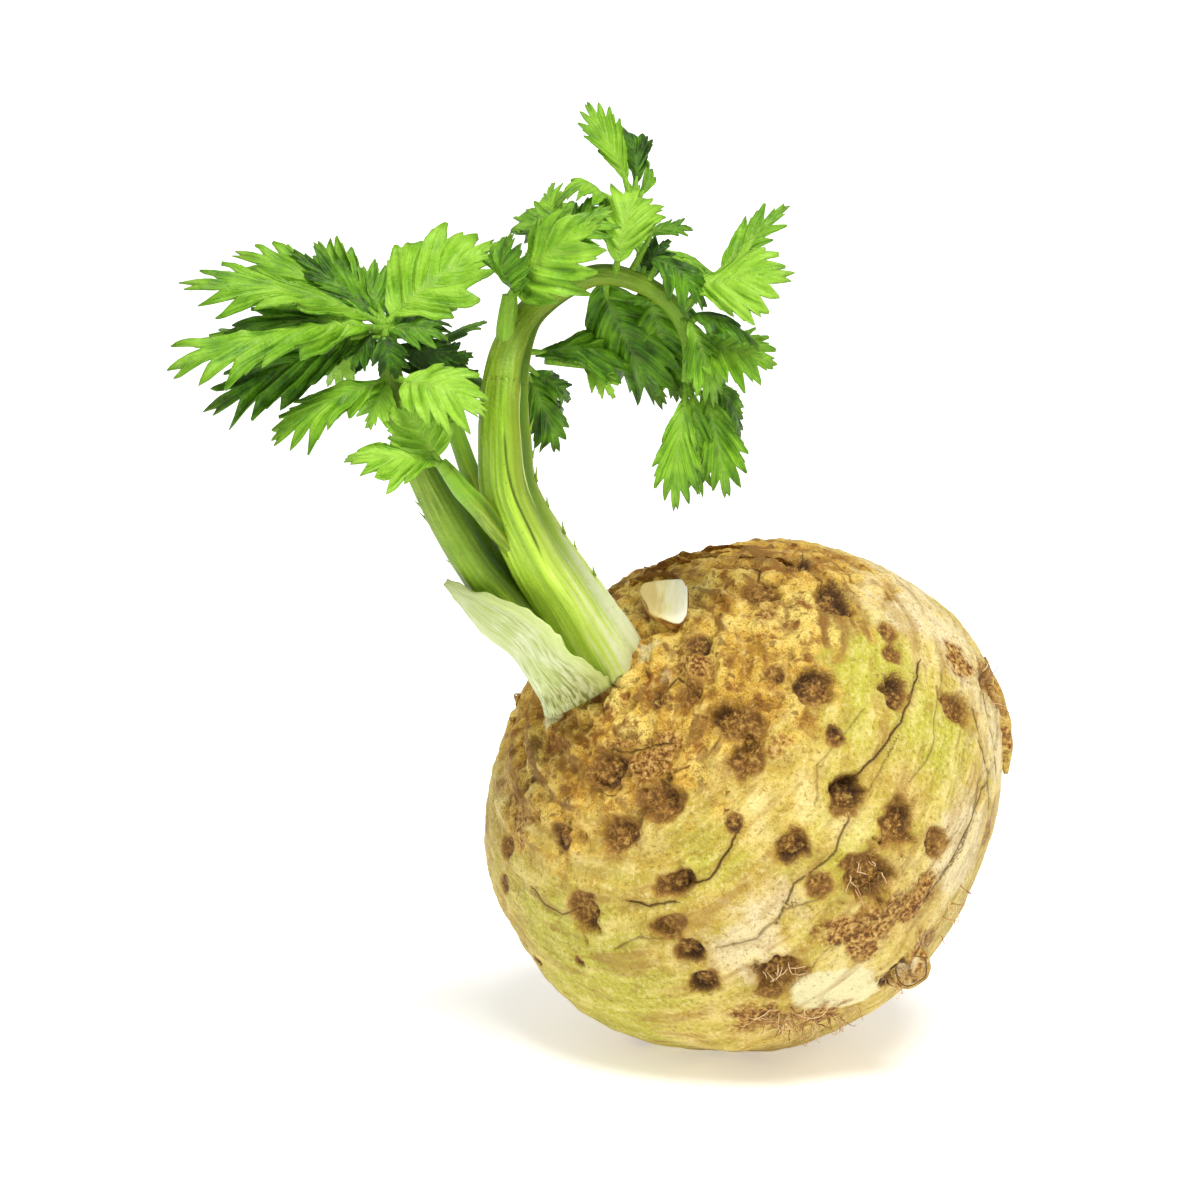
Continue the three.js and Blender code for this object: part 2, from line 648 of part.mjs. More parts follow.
const LEFT_LEAFLETS = [
  // fan upper
  { root: [-75, -42, 171], base: [-78, -43, 173], tip: [-115.5, -52, 181.5],
    face: [-0.1, -0.6, 0.8], width: 12, arch: 3, fold: -10, cut: FINGERED },
  // fan lower
  { root: [-75, -42, 170.5], base: [-79, -45, 171.5], tip: [-120, -63, 164],
    face: [-0.1, -0.6, 0.75], width: 20, arch: 4, fold: -12, cut: FINGERED },
  // fan shaded
  { root: [-75, -42, 169.5], base: [-79.5, -41, 169.5], tip: [-111.5, -50, 154.5],
    face: [-0.3, -0.75, 0.35], width: 14, arch: 3, fold: -8, cut: FINGERED },
  // fan top
  { root: [-75, -42, 171], base: [-77, -40, 173.5], tip: [-90.5, -30, 188],
    face: [-0.4, -0.8, 0.3], width: 9, arch: 2, fold: 12, cut: FINGERED },
  // fan ridge
  { root: [-75, -42, 171], base: [-77, -42, 173.5], tip: [-95.5, -37, 187],
    face: [-0.3, -0.8, 0.5], width: 8, arch: 2, fold: 12, cut: TOOTHED },
  // fan crest
  { root: [-75, -42, 171], base: [-76.5, -39, 174], tip: [-82.5, -26, 182],
    face: [0.2, -0.8, 0.5], width: 9, arch: 2, fold: 14, cut: TOOTHED },
  // fan behind
  { root: [-75, -42, 171], base: [-77.5, -41, 173.5], tip: [-106.5, -37, 186.5],
    face: [-0.2, -0.6, 0.8], width: 10, arch: 2, fold: -10, cut: FINGERED },
  // fan curl
  { root: [-74.5, -42, 165.5], base: [-80, -41, 167], tip: [-89, -34, 157.5],
    face: [-0.2, -0.8, 0.3], width: 8, arch: 2, fold: -16, cut: TOOTHED },
  // low left
  { root: [-74, -42, 160.5], base: [-75.5, -45, 159.5], tip: [-98, -55, 149],
    face: [-0.2, -0.75, 0.6], width: 12, arch: 2.5, fold: -12, cut: FINGERED },
  // low middle
  { root: [-74, -42, 160], base: [-75, -44, 159], tip: [-79, -46, 149.5],
    face: [0, -0.95, 0.2], width: 9, arch: 1.5, fold: -10, cut: TOOTHED },
  // low right
  { root: [-74, -42, 160.5], base: [-71, -53, 160], tip: [-53.5, -62, 155.5],
    face: [0.1, -0.75, 0.6], width: 12, arch: 3, fold: -12, cut: BROAD },
  // hub top
  { root: [-75, -42, 169], base: [-74, -40, 168.5], tip: [-61.5, -32, 170.5],
    face: [0, -0.6, 0.8], width: 9, arch: 2, fold: -12, cut: TOOTHED },
  // rising
  { root: [-75, -42, 171.5], base: [-74, -41, 173], tip: [-50.5, -30, 187.5],
    face: [-0.35, -0.65, 0.65], width: 15.5, arch: 2, fold: 12, cut: BROAD },
  // rear right
  { root: [-75, -42, 169], base: [-74, -36, 168.5], tip: [-67, -8, 173.5],
    face: [0.2, 0.3, 0.95], width: 14, arch: 4, fold: -12, cut: FINGERED },
];
const INNER_LEAFLETS = [
  // inner right
  { root: [-67.5, -30, 160.5], base: [-69.5, -31, 162], tip: [-57, -25, 163],
    face: [0.1, -0.85, 0.3], width: 8, arch: 1.5, fold: -14, cut: TOOTHED },
  // inner needle
  { root: [-68.5, -30, 162], base: [-67.5, -27, 163.5], tip: [-54.5, -14, 169.5],
    face: [0, -0.5, 0.8], width: 4, arch: 1, fold: -12, cut: TOOTHED },
  // inner low
  { root: [-66, -30, 157], base: [-63.5, -28, 158], tip: [-54, -20, 156],
    face: [0, -0.7, 0.6], width: 7, arch: 1.5, fold: -12, cut: TOOTHED },
];
const YOUNG_LEAFLETS = [
  // young left
  { root: [-63, -55, 143], base: [-64.5, -56, 143.5], tip: [-81, -66, 146],
    face: [-0.1, -0.6, 0.8], width: 11, arch: 1, fold: -12, cut: FINGERED },
  // young up
  { root: [-63, -55, 143], base: [-64, -55, 144.5], tip: [-71, -53, 158],
    face: [-0.3, -0.85, 0.3], width: 12, arch: 2, fold: -8, cut: BROAD },
];

// ---- The sheath ----

// The pale dry leaf base that clasps the foot of the stalks, as a curved plate.
// Each row of SHEATH is its lower edge, its upper edge and its outward bulge.
const SHEATH = [
  [[-41.5, -14, 81], [-26.5, -26, 89], 7],
  [[-42, -20, 85], [-28, -34, 93], 7],
  [[-43.5, -27, 89.5], [-31.5, -44, 97.5], 6],
  [[-46, -31, 94.5], [-36, -50, 102], 5],
  [[-49.5, -33, 98.5], [-39.5, -52, 107], 4],
  [[-53.5, -34, 101.5], [-44.5, -52, 111], 3.5],
  [[-57, -35, 105.5], [-51, -48, 113], 2.5],
  [[-60, -37, 110], [-57.5, -44, 114.5], 1.2],
  [[-63, -39, 114.5], [-62.5, -41, 115.5], 0.3],
];
const SHEATH_THICKNESS = 2.4;
const SHEATH_OUT = vec([-0.6, -0.75, -0.3]).normalize();

function sheath() {
  const columns = 6;
  const points = [];
  for (const face of [0.5, -0.5]) {
    SHEATH.forEach(([lower, upper, bulge], i) => {
      for (let j = 0; j <= columns; j++) {
        const v = j / columns;
        const thin = SHEATH_THICKNESS * (1 - (0.6 * i) / SHEATH.length) * (0.4 + 0.6 * Math.sin(Math.PI * v));
        const ridge = j % 2 ? 0.35 : 0;
        const out = bulge * Math.sin(Math.PI * v) + face * thin + ridge;
        const p = vec(lower).lerp(vec(upper), v).addScaledVector(SHEATH_OUT, out);
        points.push(p.x, p.y, p.z);
      }
    });
  }
  const rows = SHEATH.length;
  const layer = rows * (columns + 1);
  const at = (i, j) => i * (columns + 1) + j;
  const faces = [];
  for (let i = 0; i < rows - 1; i++) {
    for (let j = 0; j < columns; j++) {
      const [a, b, c, d] = [at(i, j), at(i, j + 1), at(i + 1, j + 1), at(i + 1, j)];
      faces.push(a, b, c, a, c, d);
      faces.push(layer + a, layer + c, layer + b, layer + a, layer + d, layer + c);
    }
  }
  const edge = [];
  for (let j = 0; j < columns; j++) edge.push(at(0, j));
  for (let i = 0; i < rows - 1; i++) edge.push(at(i, columns));
  for (let j = columns; j > 0; j--) edge.push(at(rows - 1, j));
  for (let i = rows - 1; i > 0; i--) edge.push(at(i, 0));
  edge.forEach((p, k) => {
    const q = edge[(k + 1) % edge.length];
    faces.push(p, layer + p, layer + q, p, layer + q, q);
  });
  const geometry = new THREE.BufferGeometry();
  geometry.setAttribute("position", new THREE.Float32BufferAttribute(points, 3));
  geometry.setIndex(faces);
  return solid(geometry);
}

// ---- Assembly ----

const SKIN = { color: "#c8a659", roughness: 0.75, metalness: 0 };
const STALK = { color: "#a3c840", roughness: 0.45, metalness: 0 };
const LEAF = { color: "#4f9a1e", roughness: 0.55, metalness: 0 };
const PALE = { color: "#e4e6be", roughness: 0.6, metalness: 0 };

const plant = new THREE.Group();
plant.name = "celeriac";

function add(name, manifold, finish) {
  const geometry = largestBody(manifold);
  geometry.computeVertexNormals();
  const mesh = new THREE.Mesh(geometry, new THREE.MeshStandardMaterial(finish));
  mesh.name = name;
  plant.add(mesh);
}

const FRONDS = [
  { name: "arched", path: ARCHED, twigs: [ARCHED_FORK, ARCHED_CREST], leaflets: ARCHED_LEAFLETS },
  { name: "left", path: LEFT, twigs: [], leaflets: LEFT_LEAFLETS },
  { name: "inner", path: INNER, twigs: [], leaflets: INNER_LEAFLETS },
  { name: "young", path: YOUNG, twigs: [], leaflets: YOUNG_LEAFLETS },
];

const cutAway = (body, others) => others.reduce((a, b) => a.subtract(b), body);
const grownBulb = bulbBody(GAP);
const grownStalks = [];

add("bulb", bulb(), SKIN);
add("cut_leaf_base", limb(STUMP).subtract(grownBulb), PALE);
for (const { name, path } of FRONDS) {
  add(`${name}_stalk`, cutAway(limb(path, 0, path.split), [grownBulb, ...grownStalks]), STALK);
  grownStalks.push(limb(path, 0, path.split, GAP));
}
add("pale_sheath", cutAway(sheath(), [grownBulb, ...grownStalks]), PALE);
for (const { name, path, twigs, leaflets } of FRONDS) {
  const stems = [limb(path, path.split, 1, 0, 8), ...twigs.map((twig) => limb(twig))];
  const spray = fuse([...stems, ...leaflets.map(leaflet)]);
  add(`${name}_spray`, cutAway(spray, grownStalks), LEAF);
}

export default plant;
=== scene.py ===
# %% [markdown]
# A celeriac, also called celery root, is a swollen stem base the size of a grapefruit. This lesson builds one that was
# just lifted and trimmed, with four leaf stalks left on. Work goes from the inside out: first the frame and camera,
# then the root's relief as one formula, then swept stalks, then leaflets grown from a list, and a material for each.
# Everything is made of meshes whose points come from short formulas, because a formula can be tuned and read again.

# %% Load the fixed frame
import math

import bmesh
import bpy
import numpy as np
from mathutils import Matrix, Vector, noise


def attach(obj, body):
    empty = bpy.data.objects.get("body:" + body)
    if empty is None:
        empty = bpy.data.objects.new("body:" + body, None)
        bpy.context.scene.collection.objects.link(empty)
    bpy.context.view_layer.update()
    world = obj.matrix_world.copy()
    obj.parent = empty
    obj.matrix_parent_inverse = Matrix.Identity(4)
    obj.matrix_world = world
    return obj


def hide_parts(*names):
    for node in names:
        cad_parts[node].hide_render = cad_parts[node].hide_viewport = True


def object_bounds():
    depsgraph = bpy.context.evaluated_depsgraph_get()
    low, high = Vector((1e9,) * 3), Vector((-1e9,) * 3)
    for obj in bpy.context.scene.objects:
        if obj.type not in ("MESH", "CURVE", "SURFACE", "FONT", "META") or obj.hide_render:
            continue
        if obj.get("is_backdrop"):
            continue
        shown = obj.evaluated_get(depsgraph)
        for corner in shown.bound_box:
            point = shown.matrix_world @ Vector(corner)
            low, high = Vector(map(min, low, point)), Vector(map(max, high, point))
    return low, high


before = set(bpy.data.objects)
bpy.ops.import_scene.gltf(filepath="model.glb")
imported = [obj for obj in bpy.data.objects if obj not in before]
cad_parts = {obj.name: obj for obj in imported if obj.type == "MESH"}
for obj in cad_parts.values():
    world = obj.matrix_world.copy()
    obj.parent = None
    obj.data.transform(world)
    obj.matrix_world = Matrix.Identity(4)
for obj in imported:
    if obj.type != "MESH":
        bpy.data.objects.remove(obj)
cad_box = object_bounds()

MM = 0.001  # lengths below are in millimetres, and Blender's are in metres
print("nodes:", sorted(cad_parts))

# %% [markdown]
# The camera stands 0.9 m away and looks slightly down, as one does at food on a table. A long lens keeps the root from
# bulging towards the viewer. Its place is worked out from the viewing angle, so that one number can be changed.

# %% Camera
VIEW_DOWN = math.radians(10)  # how steeply the camera looks down
VIEW_DISTANCE = 900
VIEW_TARGET = Vector((-29.2, 10.8, 102.2))
VIEW_WIDTH = 277  # how much is in view from left to right, at the target
SENSOR_WIDTH = 36  # the size of film that lens lengths are usually given for

forward = Vector((0, math.cos(VIEW_DOWN), -math.sin(VIEW_DOWN)))
camera_data = bpy.data.cameras.new("camera")
camera_data.sensor_width = SENSOR_WIDTH
camera_data.lens = SENSOR_WIDTH * VIEW_DISTANCE / VIEW_WIDTH
camera_data.clip_end = 100  # metres, past the far edge of the floor
camera = bpy.data.objects.new("camera", camera_data)
camera.location = (VIEW_TARGET - forward * VIEW_DISTANCE) * MM
camera.rotation_euler = forward.to_track_quat("-Z", "Y").to_euler()
bpy.context.collection.objects.link(camera)
bpy.context.scene.camera = camera
print("camera at", [round(c, 3) for c in camera.location], "lens", round(camera_data.lens, 1), "mm")

# %% [markdown]
# Colours are written as sRGB hex, the way a colour picker shows them. Shaders need linear light, so one function turns
# them. A second function adds any shader node: it takes the node's type, what goes into its sockets, and its settings.
# That keeps each material short enough to read as a list of layers.

# %% Helpers for materials
def colour(code):
    """An sRGB hex colour as linear RGBA."""
    channels = [int(code[i : i + 2], 16) / 255 for i in (1, 3, 5)]
    linear = [c / 12.92 if c <= 0.04045 else ((c + 0.055) / 1.055) ** 2.4 for c in channels]
    return (*linear, 1.0)


def add(tree, kind, sockets=(), stops=None, out=0, **settings):
    """Adds a shader node and returns its output. sockets gives values or other outputs, by number, name or order."""
    made = tree.nodes.new("ShaderNode" + kind)
    for name, value in settings.items():
        setattr(made, name, value)
    for name, value in sockets.items() if isinstance(sockets, dict) else enumerate(sockets):
        if isinstance(value, bpy.types.NodeSocket):
            tree.links.new(value, made.inputs[name])
        else:
            made.inputs[name].default_value = colour(value) if isinstance(value, str) else value
    if stops:
        ramp = made.color_ramp
        for place, code in stops[1:-1]:
            ramp.elements.new(place).color = colour(code)
        ramp.elements[0].position, ramp.elements[-1].position = stops[0][0], stops[-1][0]
        ramp.elements[0].color, ramp.elements[-1].color = colour(stops[0][1]), colour(stops[-1][1])
    return made.outputs[out] if made.outputs else made


def blank_material(name):
    """A new material and its empty node tree."""
    material = bpy.data.materials.new(name)
    material.use_nodes = True
    material.node_tree.nodes.clear()
    return material, material.node_tree


def per_mm(size):
    """The Scale of a texture whose pattern is about this many millimetres across."""
    return 1 / (size * MM)


print("white is", colour("#ffffff"))

# %% [markdown]
# The table is a white acrylic sheet that is lit from below as well, as in a studio. Its own glow thins the shadow and
# fills the underside of the root with light. A broad sun from above, a little to the right and in front, gives the
# form, and a dim white sky does the rest. Together they bring the sheet to pure white except under the root.

# %% Floor and light
SHEET_SIZE = 60  # metres, so that its edge is far out of view
SHEET_GLOW = 0.38


def white_sheet():
    """Cast acrylic is smooth and milky: it scatters light inside, so a glow looks even all over."""
    material, tree = blank_material("white_acrylic_sheet")
    sockets = {"Base Color": "#fafaf8", "Roughness": 0.4, "IOR": 1.49}
    sockets |= {"Emission Color": "#fffefa", "Emission Strength": SHEET_GLOW}
    shader = add(tree, "BsdfPrincipled", sockets)
    add(tree, "OutputMaterial", {"Surface": shader})
    return material


bpy.ops.mesh.primitive_plane_add(size=SHEET_SIZE, location=(0, 0, 0))
floor = bpy.context.object
floor.name = "floor"
floor.data.materials.append(white_sheet())
floor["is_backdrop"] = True

SUN_FROM = Vector((0.14, -0.5, 1.0))
SUN_STRENGTH, SUN_SPREAD, SKY_STRENGTH = 3.4, math.radians(26), 0.55
sun_data = bpy.data.lights.new("sun", "SUN")
sun_data.energy = SUN_STRENGTH
sun_data.angle = SUN_SPREAD
sun = bpy.data.objects.new("sun", sun_data)
sun.rotation_euler = (-SUN_FROM).to_track_quat("-Z", "Y").to_euler()
bpy.context.collection.objects.link(sun)

world = bpy.data.worlds.new("studio")
world.use_nodes = True
world.node_tree.nodes["Background"].inputs["Color"].default_value = (1, 1, 1, 1)
world.node_tree.nodes["Background"].inputs["Strength"].default_value = SKY_STRENGTH
bpy.context.scene.world = world
bpy.context.scene.view_settings.view_transform = "Standard"
print("light: sun", SUN_STRENGTH, "sky", SKY_STRENGTH)

# %% [markdown]
# The swollen root is close to a ball, a little flatter along the axis it grew on. That axis leans up to the left,
# towards the crown, where the leaves stood. Every mark on the skin is placed by two angles, as on a globe with the
# crown as its north pole: the polar angle from the crown, and the azimuth round it.

# %% A globe round the growth axis
CROWN = np.array((-0.567, -0.567, 0.598))
CROWN = CROWN / np.linalg.norm(CROWN)
NORTH = np.array((0, 0, 1)) - CROWN * CROWN[2]
NORTH = NORTH / np.linalg.norm(NORTH)
EAST = np.cross(CROWN, NORTH)
BULB_CENTRE = np.array((4, 3, 58))
BULB_ACROSS = 61.4  # radius across the growth axis
BULB_ALONG = 53  # and along it
BULB_DETAIL = 126  # quads along each edge of the cube that is blown up into the root


def direction(polar, azimuth):
    """The unit direction at a polar angle from the crown and an azimuth round it, in degrees."""
    p, a = math.radians(polar), math.radians(azimuth)
    return math.sin(p) * math.cos(a) * NORTH + math.sin(p) * math.sin(a) * EAST + math.cos(p) * CROWN


def globe_angles(dirs):
    """Polar angle and azimuth of unit directions, in degrees."""
    polar = np.degrees(np.arccos(np.clip(dirs @ CROWN, -1, 1)))
    return polar, np.degrees(np.arctan2(dirs @ EAST, dirs @ NORTH))


def cube_sphere(n):
    """Unit directions and quads of a cube with n by n quads a side, blown up into a ball."""
    i, j = (grid.ravel() for grid in np.meshgrid(np.arange(n), np.arange(n), indexing="ij"))
    u, v = np.stack([i, i + 1, i + 1, i], 1), np.stack([j, j, j + 1, j + 1], 1)
    quads = []
    for axis in range(3):
        for end in (0, n):
            quad = np.empty((n * n, 4, 3), int)
            quad[..., axis], quad[..., (axis + 1) % 3], quad[..., (axis + 2) % 3] = end, u, v
            quads.append(quad if end else quad[:, ::-1])
    lattice, faces = np.unique(np.concatenate(quads).reshape(-1, 3), axis=0, return_inverse=True)
    points = np.tan((lattice / n * 2 - 1) * math.pi / 4)
    return points / np.linalg.norm(points, axis=1, keepdims=True), faces.reshape(-1, 4)


dirs, ball_faces = cube_sphere(BULB_DETAIL)
polar, azimuth = globe_angles(dirs)
print("ball:", len(dirs), "points, crown points to", CROWN.round(2))

# %% [markdown]
# A root is never round. Broad swellings and hollows, each one smooth bump of a given spread, make its outline lumpy.
# Rings of folded skin, the scars of old leaves, run round the crown, and the skin swells where a side root stood.

# %% Swellings and leaf scars
SWELLINGS = [  # polar angle, azimuth, spread in degrees, height in mm
    [62, 25, 24, -1.8], [97, -38, 18, 2.6], [121, -92, 24, -1.8], [68, 130, 16, 1.6], [50, 92, 18, -1.0],
    [108, -168, 12, -2.2], [88, 160, 14, 1.0], [128, -176, 15, 1.9], [75, 60, 20, 1.4], [95, 100, 22, -1.6],
    [118, 40, 20, 1.8], [140, -20, 22, -1.6], [90, 20, 18, 1.2], [112, -141, 9, -2.6], [96, -157, 7, 1.6],
]
ROOT_STUBS = [  # polar angle, azimuth, radius, length
    [100, -117, 4.2, 2.2], [158, -40, 4.6, 7], [172, 130, 5.2, 8], [165, -100, 4.4, 7], [150, 88, 4.4, 8],
    [138, 20, 4.6, 9], [140, 70, 3.6, 6], [125, 100, 3.4, 5], [148, -10, 3.4, 6], [128, 40, 3.8, 7],
]
STUB_FOOT = (6, 2.4)  # spread and height of the swelling that each stub grew from
RING_STEP, RING_HEIGHT = 9, 0.8  # degrees from ring to ring, and height in mm
RING_END, RING_FADE = 58, 20  # the polar angle of the last ring, and how long before it they fade
RING_SWAY = ((2.5, 3, 0), (1.5, 7, 1))  # waves in the rings: degrees to each side, how many round, and a shift


def step(low, high, x):
    """0 below low, 1 above high, and a smooth rise between."""
    t = np.clip((x - low) / (high - low), 0, 1)
    return t * t * (3 - 2 * t)


def bumps(dirs, rows):
    """The sum of smooth round bumps, each given by its two angles, its spread and its height."""
    total = np.zeros(len(dirs))
    for polar, azimuth, spread, height in rows:
        angle = np.degrees(np.arccos(np.clip(dirs @ direction(polar, azimuth), -1, 1)))
        total += height * np.exp(-((angle / spread) ** 2))
    return total


def broad_shape(dirs):
    """Distance from the root's middle to its skin, before the eyes are pressed in."""
    up = dirs @ CROWN
    radius = 1 / np.sqrt((1 - up**2) / BULB_ACROSS**2 + up**2 / BULB_ALONG**2)
    radius += bumps(dirs, SWELLINGS + [[p, a, *STUB_FOOT] for p, a, *_ in ROOT_STUBS])
    polar, azimuth = globe_angles(dirs)
    sway = sum(size * np.sin(count * np.radians(azimuth) + shift) for size, count, shift in RING_SWAY)
    fade = np.clip((RING_END - polar) / RING_FADE, 0, 1)
    return radius + RING_HEIGHT * fade * np.sin(2 * math.pi * (polar + sway) / RING_STEP)


radius = broad_shape(dirs)
print("radius from", radius.min().round(1), "to", radius.max().round(1), "mm")

# %% [markdown]
# Eyes are the corky pits where bunches of fine roots grew. On the near side they are listed one by one, by their two
# angles and their size. On the far side a sunflower spiral spreads them evenly, and a formula that only looks random
# varies them, so that every run gives the same root. Some eyes are given a tone, from fresh and dark to old and tan.

# %% Where the eyes are
EYES = [  # polar angle, azimuth, size along the parallel, size along the meridian, depth
    [63, -95, 8.5, 8.5, 2.9], [67, -66, 9, 6, 2.2], [49, -70, 10, 9, 2.0], [56, -38, 12, 8, 1.8],
    [35, -90, 9, 12, 1.5], [41, -101, 10, 8, 1.3], [60, -113, 9, 7, 1.8], [76, -94, 11, 9, 2.2],
    [77, -107, 13, 14, 2.4],
    [51, -144, 11, 6, 1.8], [54, -176, 9, 10, 2.0], [59, -151, 8, 6, 1.6], [66, -149, 8, 6, 1.6],
    [74, -150, 8, 6, 1.6], [80, -135, 12, 9, 2.4], [83, -63, 7, 12, 2.0], [97, -50, 7, 13, 2.2],
    [87, -92, 7, 7, 1.4], [34, -135, 10, 10, 2.0], [22, -162, 11, 10, 2.0], [37, -157, 11, 8, 1.6],
    [42, -28, 10, 8, 1.6], [55, -20, 8, 7, 1.4],
]
SMALL_EYES = [
    [48, -119, 4.5, 4, 0.8], [67, 178, 3.5, 3, 0.5], [75, 159, 3.5, 3, 0.5], [70, -115, 6, 6, 0.7],
    [66, -49, 5, 5, 0.7], [66, -56, 4.5, 4.5, 0.6], [56, -83, 4.5, 5, 0.7], [38, 175, 6, 7, 0.9],
    [51, 146, 5, 6, 0.8], [60, 147, 5, 5, 0.6], [40, -68, 5, 5, 0.7], [23, -46, 7, 6, 0.8], [15, -95, 6, 5, 0.7],
    [22, -81, 6, 5, 0.7], [83, -139, 6, 4, 0.6], [101.5, -119, 10, 10, 1.6],
]
EYE_TONES = {  # of some eyes, by their number: 0 is fresh and dark, 1 old and tan
    0: 0.1, 1: 0.15, 2: 0.3, 4: 0.55, 5: 0.6, 6: 0.3, 7: 0.45, 8: 0.5, 9: 0.4, 12: 0.25, 13: 0.1, 19: 0.5, 38: -0.2,
}
SCATTERED_EYES = 90  # places tried on the whole ball, of which those on the far side are kept
FIRST_EYE = 34  # the polar angle above which the crown has no eyes
NEAR_SIDE = np.array((0, -0.985, 0.174))  # on this side the eyes are listed
GOLDEN_ANGLE = 137.508  # from one seed of a sunflower to the next


def draw(i, k):
    """A repeatable draw from 0 to 1 for item i, k-th draw."""
    s = math.sin(i * 12.9898 + k * 78.233) * 43758.5453
    return s - math.floor(s)


def scattered_eyes():
    """Rows like those of EYES, for the far side."""
    eyes = []
    for i in range(SCATTERED_EYES):
        polar = math.degrees(math.acos(1 - 2 * (i + 0.5) / SCATTERED_EYES)) + 8 * (draw(i, 1) - 0.5)
        azimuth = math.fmod(i * GOLDEN_ANGLE + 16 * (draw(i, 2) - 0.5) + 180, 360) - 180
        if polar < FIRST_EYE or direction(polar, azimuth) @ NEAR_SIDE > -0.08:
            continue
        size = 6 + 6 * draw(i, 3)  # mm
        eyes.append([polar, azimuth, size, size * (0.7 + 0.5 * draw(i, 4)), 0.12 * size + 0.2])
    return eyes


print("eyes:", len(EYES) + len(SMALL_EYES), "near and", len(scattered_eyes()), "far")

# %% [markdown]
# Each eye is an oval dent with a ragged edge, a steep wall on one side and a faint lip. The distance q is 0 in its
# middle and 1 at its edge, with some noise added. The relief is worked out from q, and the material reads q to paint
# the cork, so it is kept, with the eye's tone. The tone is lowered on the steep side, which paints shade on that wall.

# %% Press the eyes in
def wobble(points, size, seed=0.0):
    """Smooth noise from about -1 to 1 at each point, with lumps about `size` mm across."""
    return np.array([noise.noise(p) for p in np.asarray(points) / size + seed])


BALL = 60  # mm, the radius of the ball on which noise and lines are measured
LIP_HEIGHT, LIP_PLACE, LIP_WIDTH = 0.22, 1.3, 0.3  # as a share of the eye's depth, and as distances q
WALL_LEAN = 0.45  # how much deeper an eye is on its steep side
WALL_TOP, WALL_FOOT = 1.08, 0.6  # the q at which an eye's wall starts and ends
NO_EYE = 4.0  # the q of skin that is far from every eye
NEAR_EYE = 0.9  # cosine of the angle round an eye in which the skin is changed

ragged = wobble(dirs * BALL, 3.5, 3.1) * 0.4 + wobble(dirs * BALL, 1.6, 7.7) * 0.25
eye_distance = np.full(len(dirs), NO_EYE)
eye_relief = np.zeros(len(dirs))
eye_tone = np.zeros(len(dirs))
for i, (p, a, wide, long, depth) in enumerate(EYES + SMALL_EYES + scattered_eyes()):
    middle = direction(p, a)
    near = dirs @ middle > NEAR_EYE
    across = np.cross(CROWN, middle)
    across /= np.linalg.norm(across)
    x = dirs[near] @ across * radius[near] * 2 / wide
    y = dirs[near] @ np.cross(middle, across) * radius[near] * 2 / long
    q = np.hypot(x, y) * (1 + ragged[near])
    steep = 2 * math.pi * draw(i, 5)
    lean = 1 + WALL_LEAN * (x * math.cos(steep) + y * math.sin(steep)) / (0.3 + q)
    lip = LIP_HEIGHT * np.exp(-(((q - LIP_PLACE) / LIP_WIDTH) ** 2))
    eye_relief[near] += depth * (lip - lean * step(WALL_TOP, WALL_FOOT, q))
    closer = q < eye_distance[near]
    # A lower tone on the steep side of the wall paints it darker, as painted shade.
    tone = EYE_TONES.get(i, 0.15 + 0.7 * draw(i, 6)) + 0.4 * (1 - lean[closer]) / WALL_LEAN
    eye_tone[np.flatnonzero(near)[closer]] = np.clip(tone, 0, 1)
    eye_distance[near] = np.minimum(eye_distance[near], q)
print("the deepest eye is", round(-float(eye_relief.min()), 1), "mm deep")

# %% [markdown]
# The skin splits and folds as the root swells. Creases are thin dark lines that run mostly round the root. Each is a
# line of points on the skin, and the mesh sinks along it. The line itself is finer than the mesh, so the material draws
# it: every point keeps its distance to the nearest line with a sign for the side it lies on, and the distance without.
# Between two points on either side of a line the signed distance passes through zero just where the line is.

# %% Creases
CREASES = [  # strength, then polar angle and azimuth of each point
    [1.0, (50, -121), (52, -128), (54, -134), (53, -140)],
    [1.0, (62, -92), (66, -83), (69, -73), (71, -64), (73, -56)],
    [0.35, (58, -100), (55, -92), (57, -84), (60, -74)],
    [0.8, (70, -128), (66, -119), (68, -108), (66, -100)],
    [0.4, (69, -78), (67, -91), (64, -96)],
    [0.4, (75, -84), (78, -76), (77, -66), (79, -56)],
    [0.9, (52, -159), (54, -153), (55, -146)],
    [0.5, (62, -168), (60, -160), (62, -152)],
    [0.5, (68, -142), (70, -134), (69, -124), (72, -118)],
    [0.9, (22, -170), (17, -156), (20, -140), (21, -125), (24, -116)],
    [0.9, (23, -81), (17, -70), (14, -86)],
    [0.6, (95, -74), (97, -89), (94, -100)],
    [0.35, (85, -139), (82, -124), (87, -107), (91, -92), (95, -76)],
    [0.9, (104, -54), (98, -75), (96, -85), (95, -94), (94, -103)],
    [0.7, (88, -60), (92, -66), (98, -70), (104, -76)],
    [0.6, (92, -52), (97, -60), (103, -66), (108, -74)],
]
SCATTERED_CREASES = 18
CREASE_WIDTH, CREASE_DEPTH = 0.9, 0.7  # mm
CREASE_SHAKE, SHAKE_SIZE = 0.5, 4  # how far a crease strays, and the length of its bends, in mm
FAR = 3.0  # mm, past which the distance to a line no longer matters


def scattered_creases(count):
    """Rows like those of CREASES, from the right side round to the back."""
    lines = []
    for i in range(count):
        polar, azimuth = 45 + 85 * draw(i, 31), -50 + 240 * draw(i, 32)
        turns = [(polar + 5 * (draw(i, 33 + k) - 0.5), azimuth + 6 * k) for k in range(4)]
        lines.append([0.4 + 0.6 * draw(i, 30), *turns])
    return lines


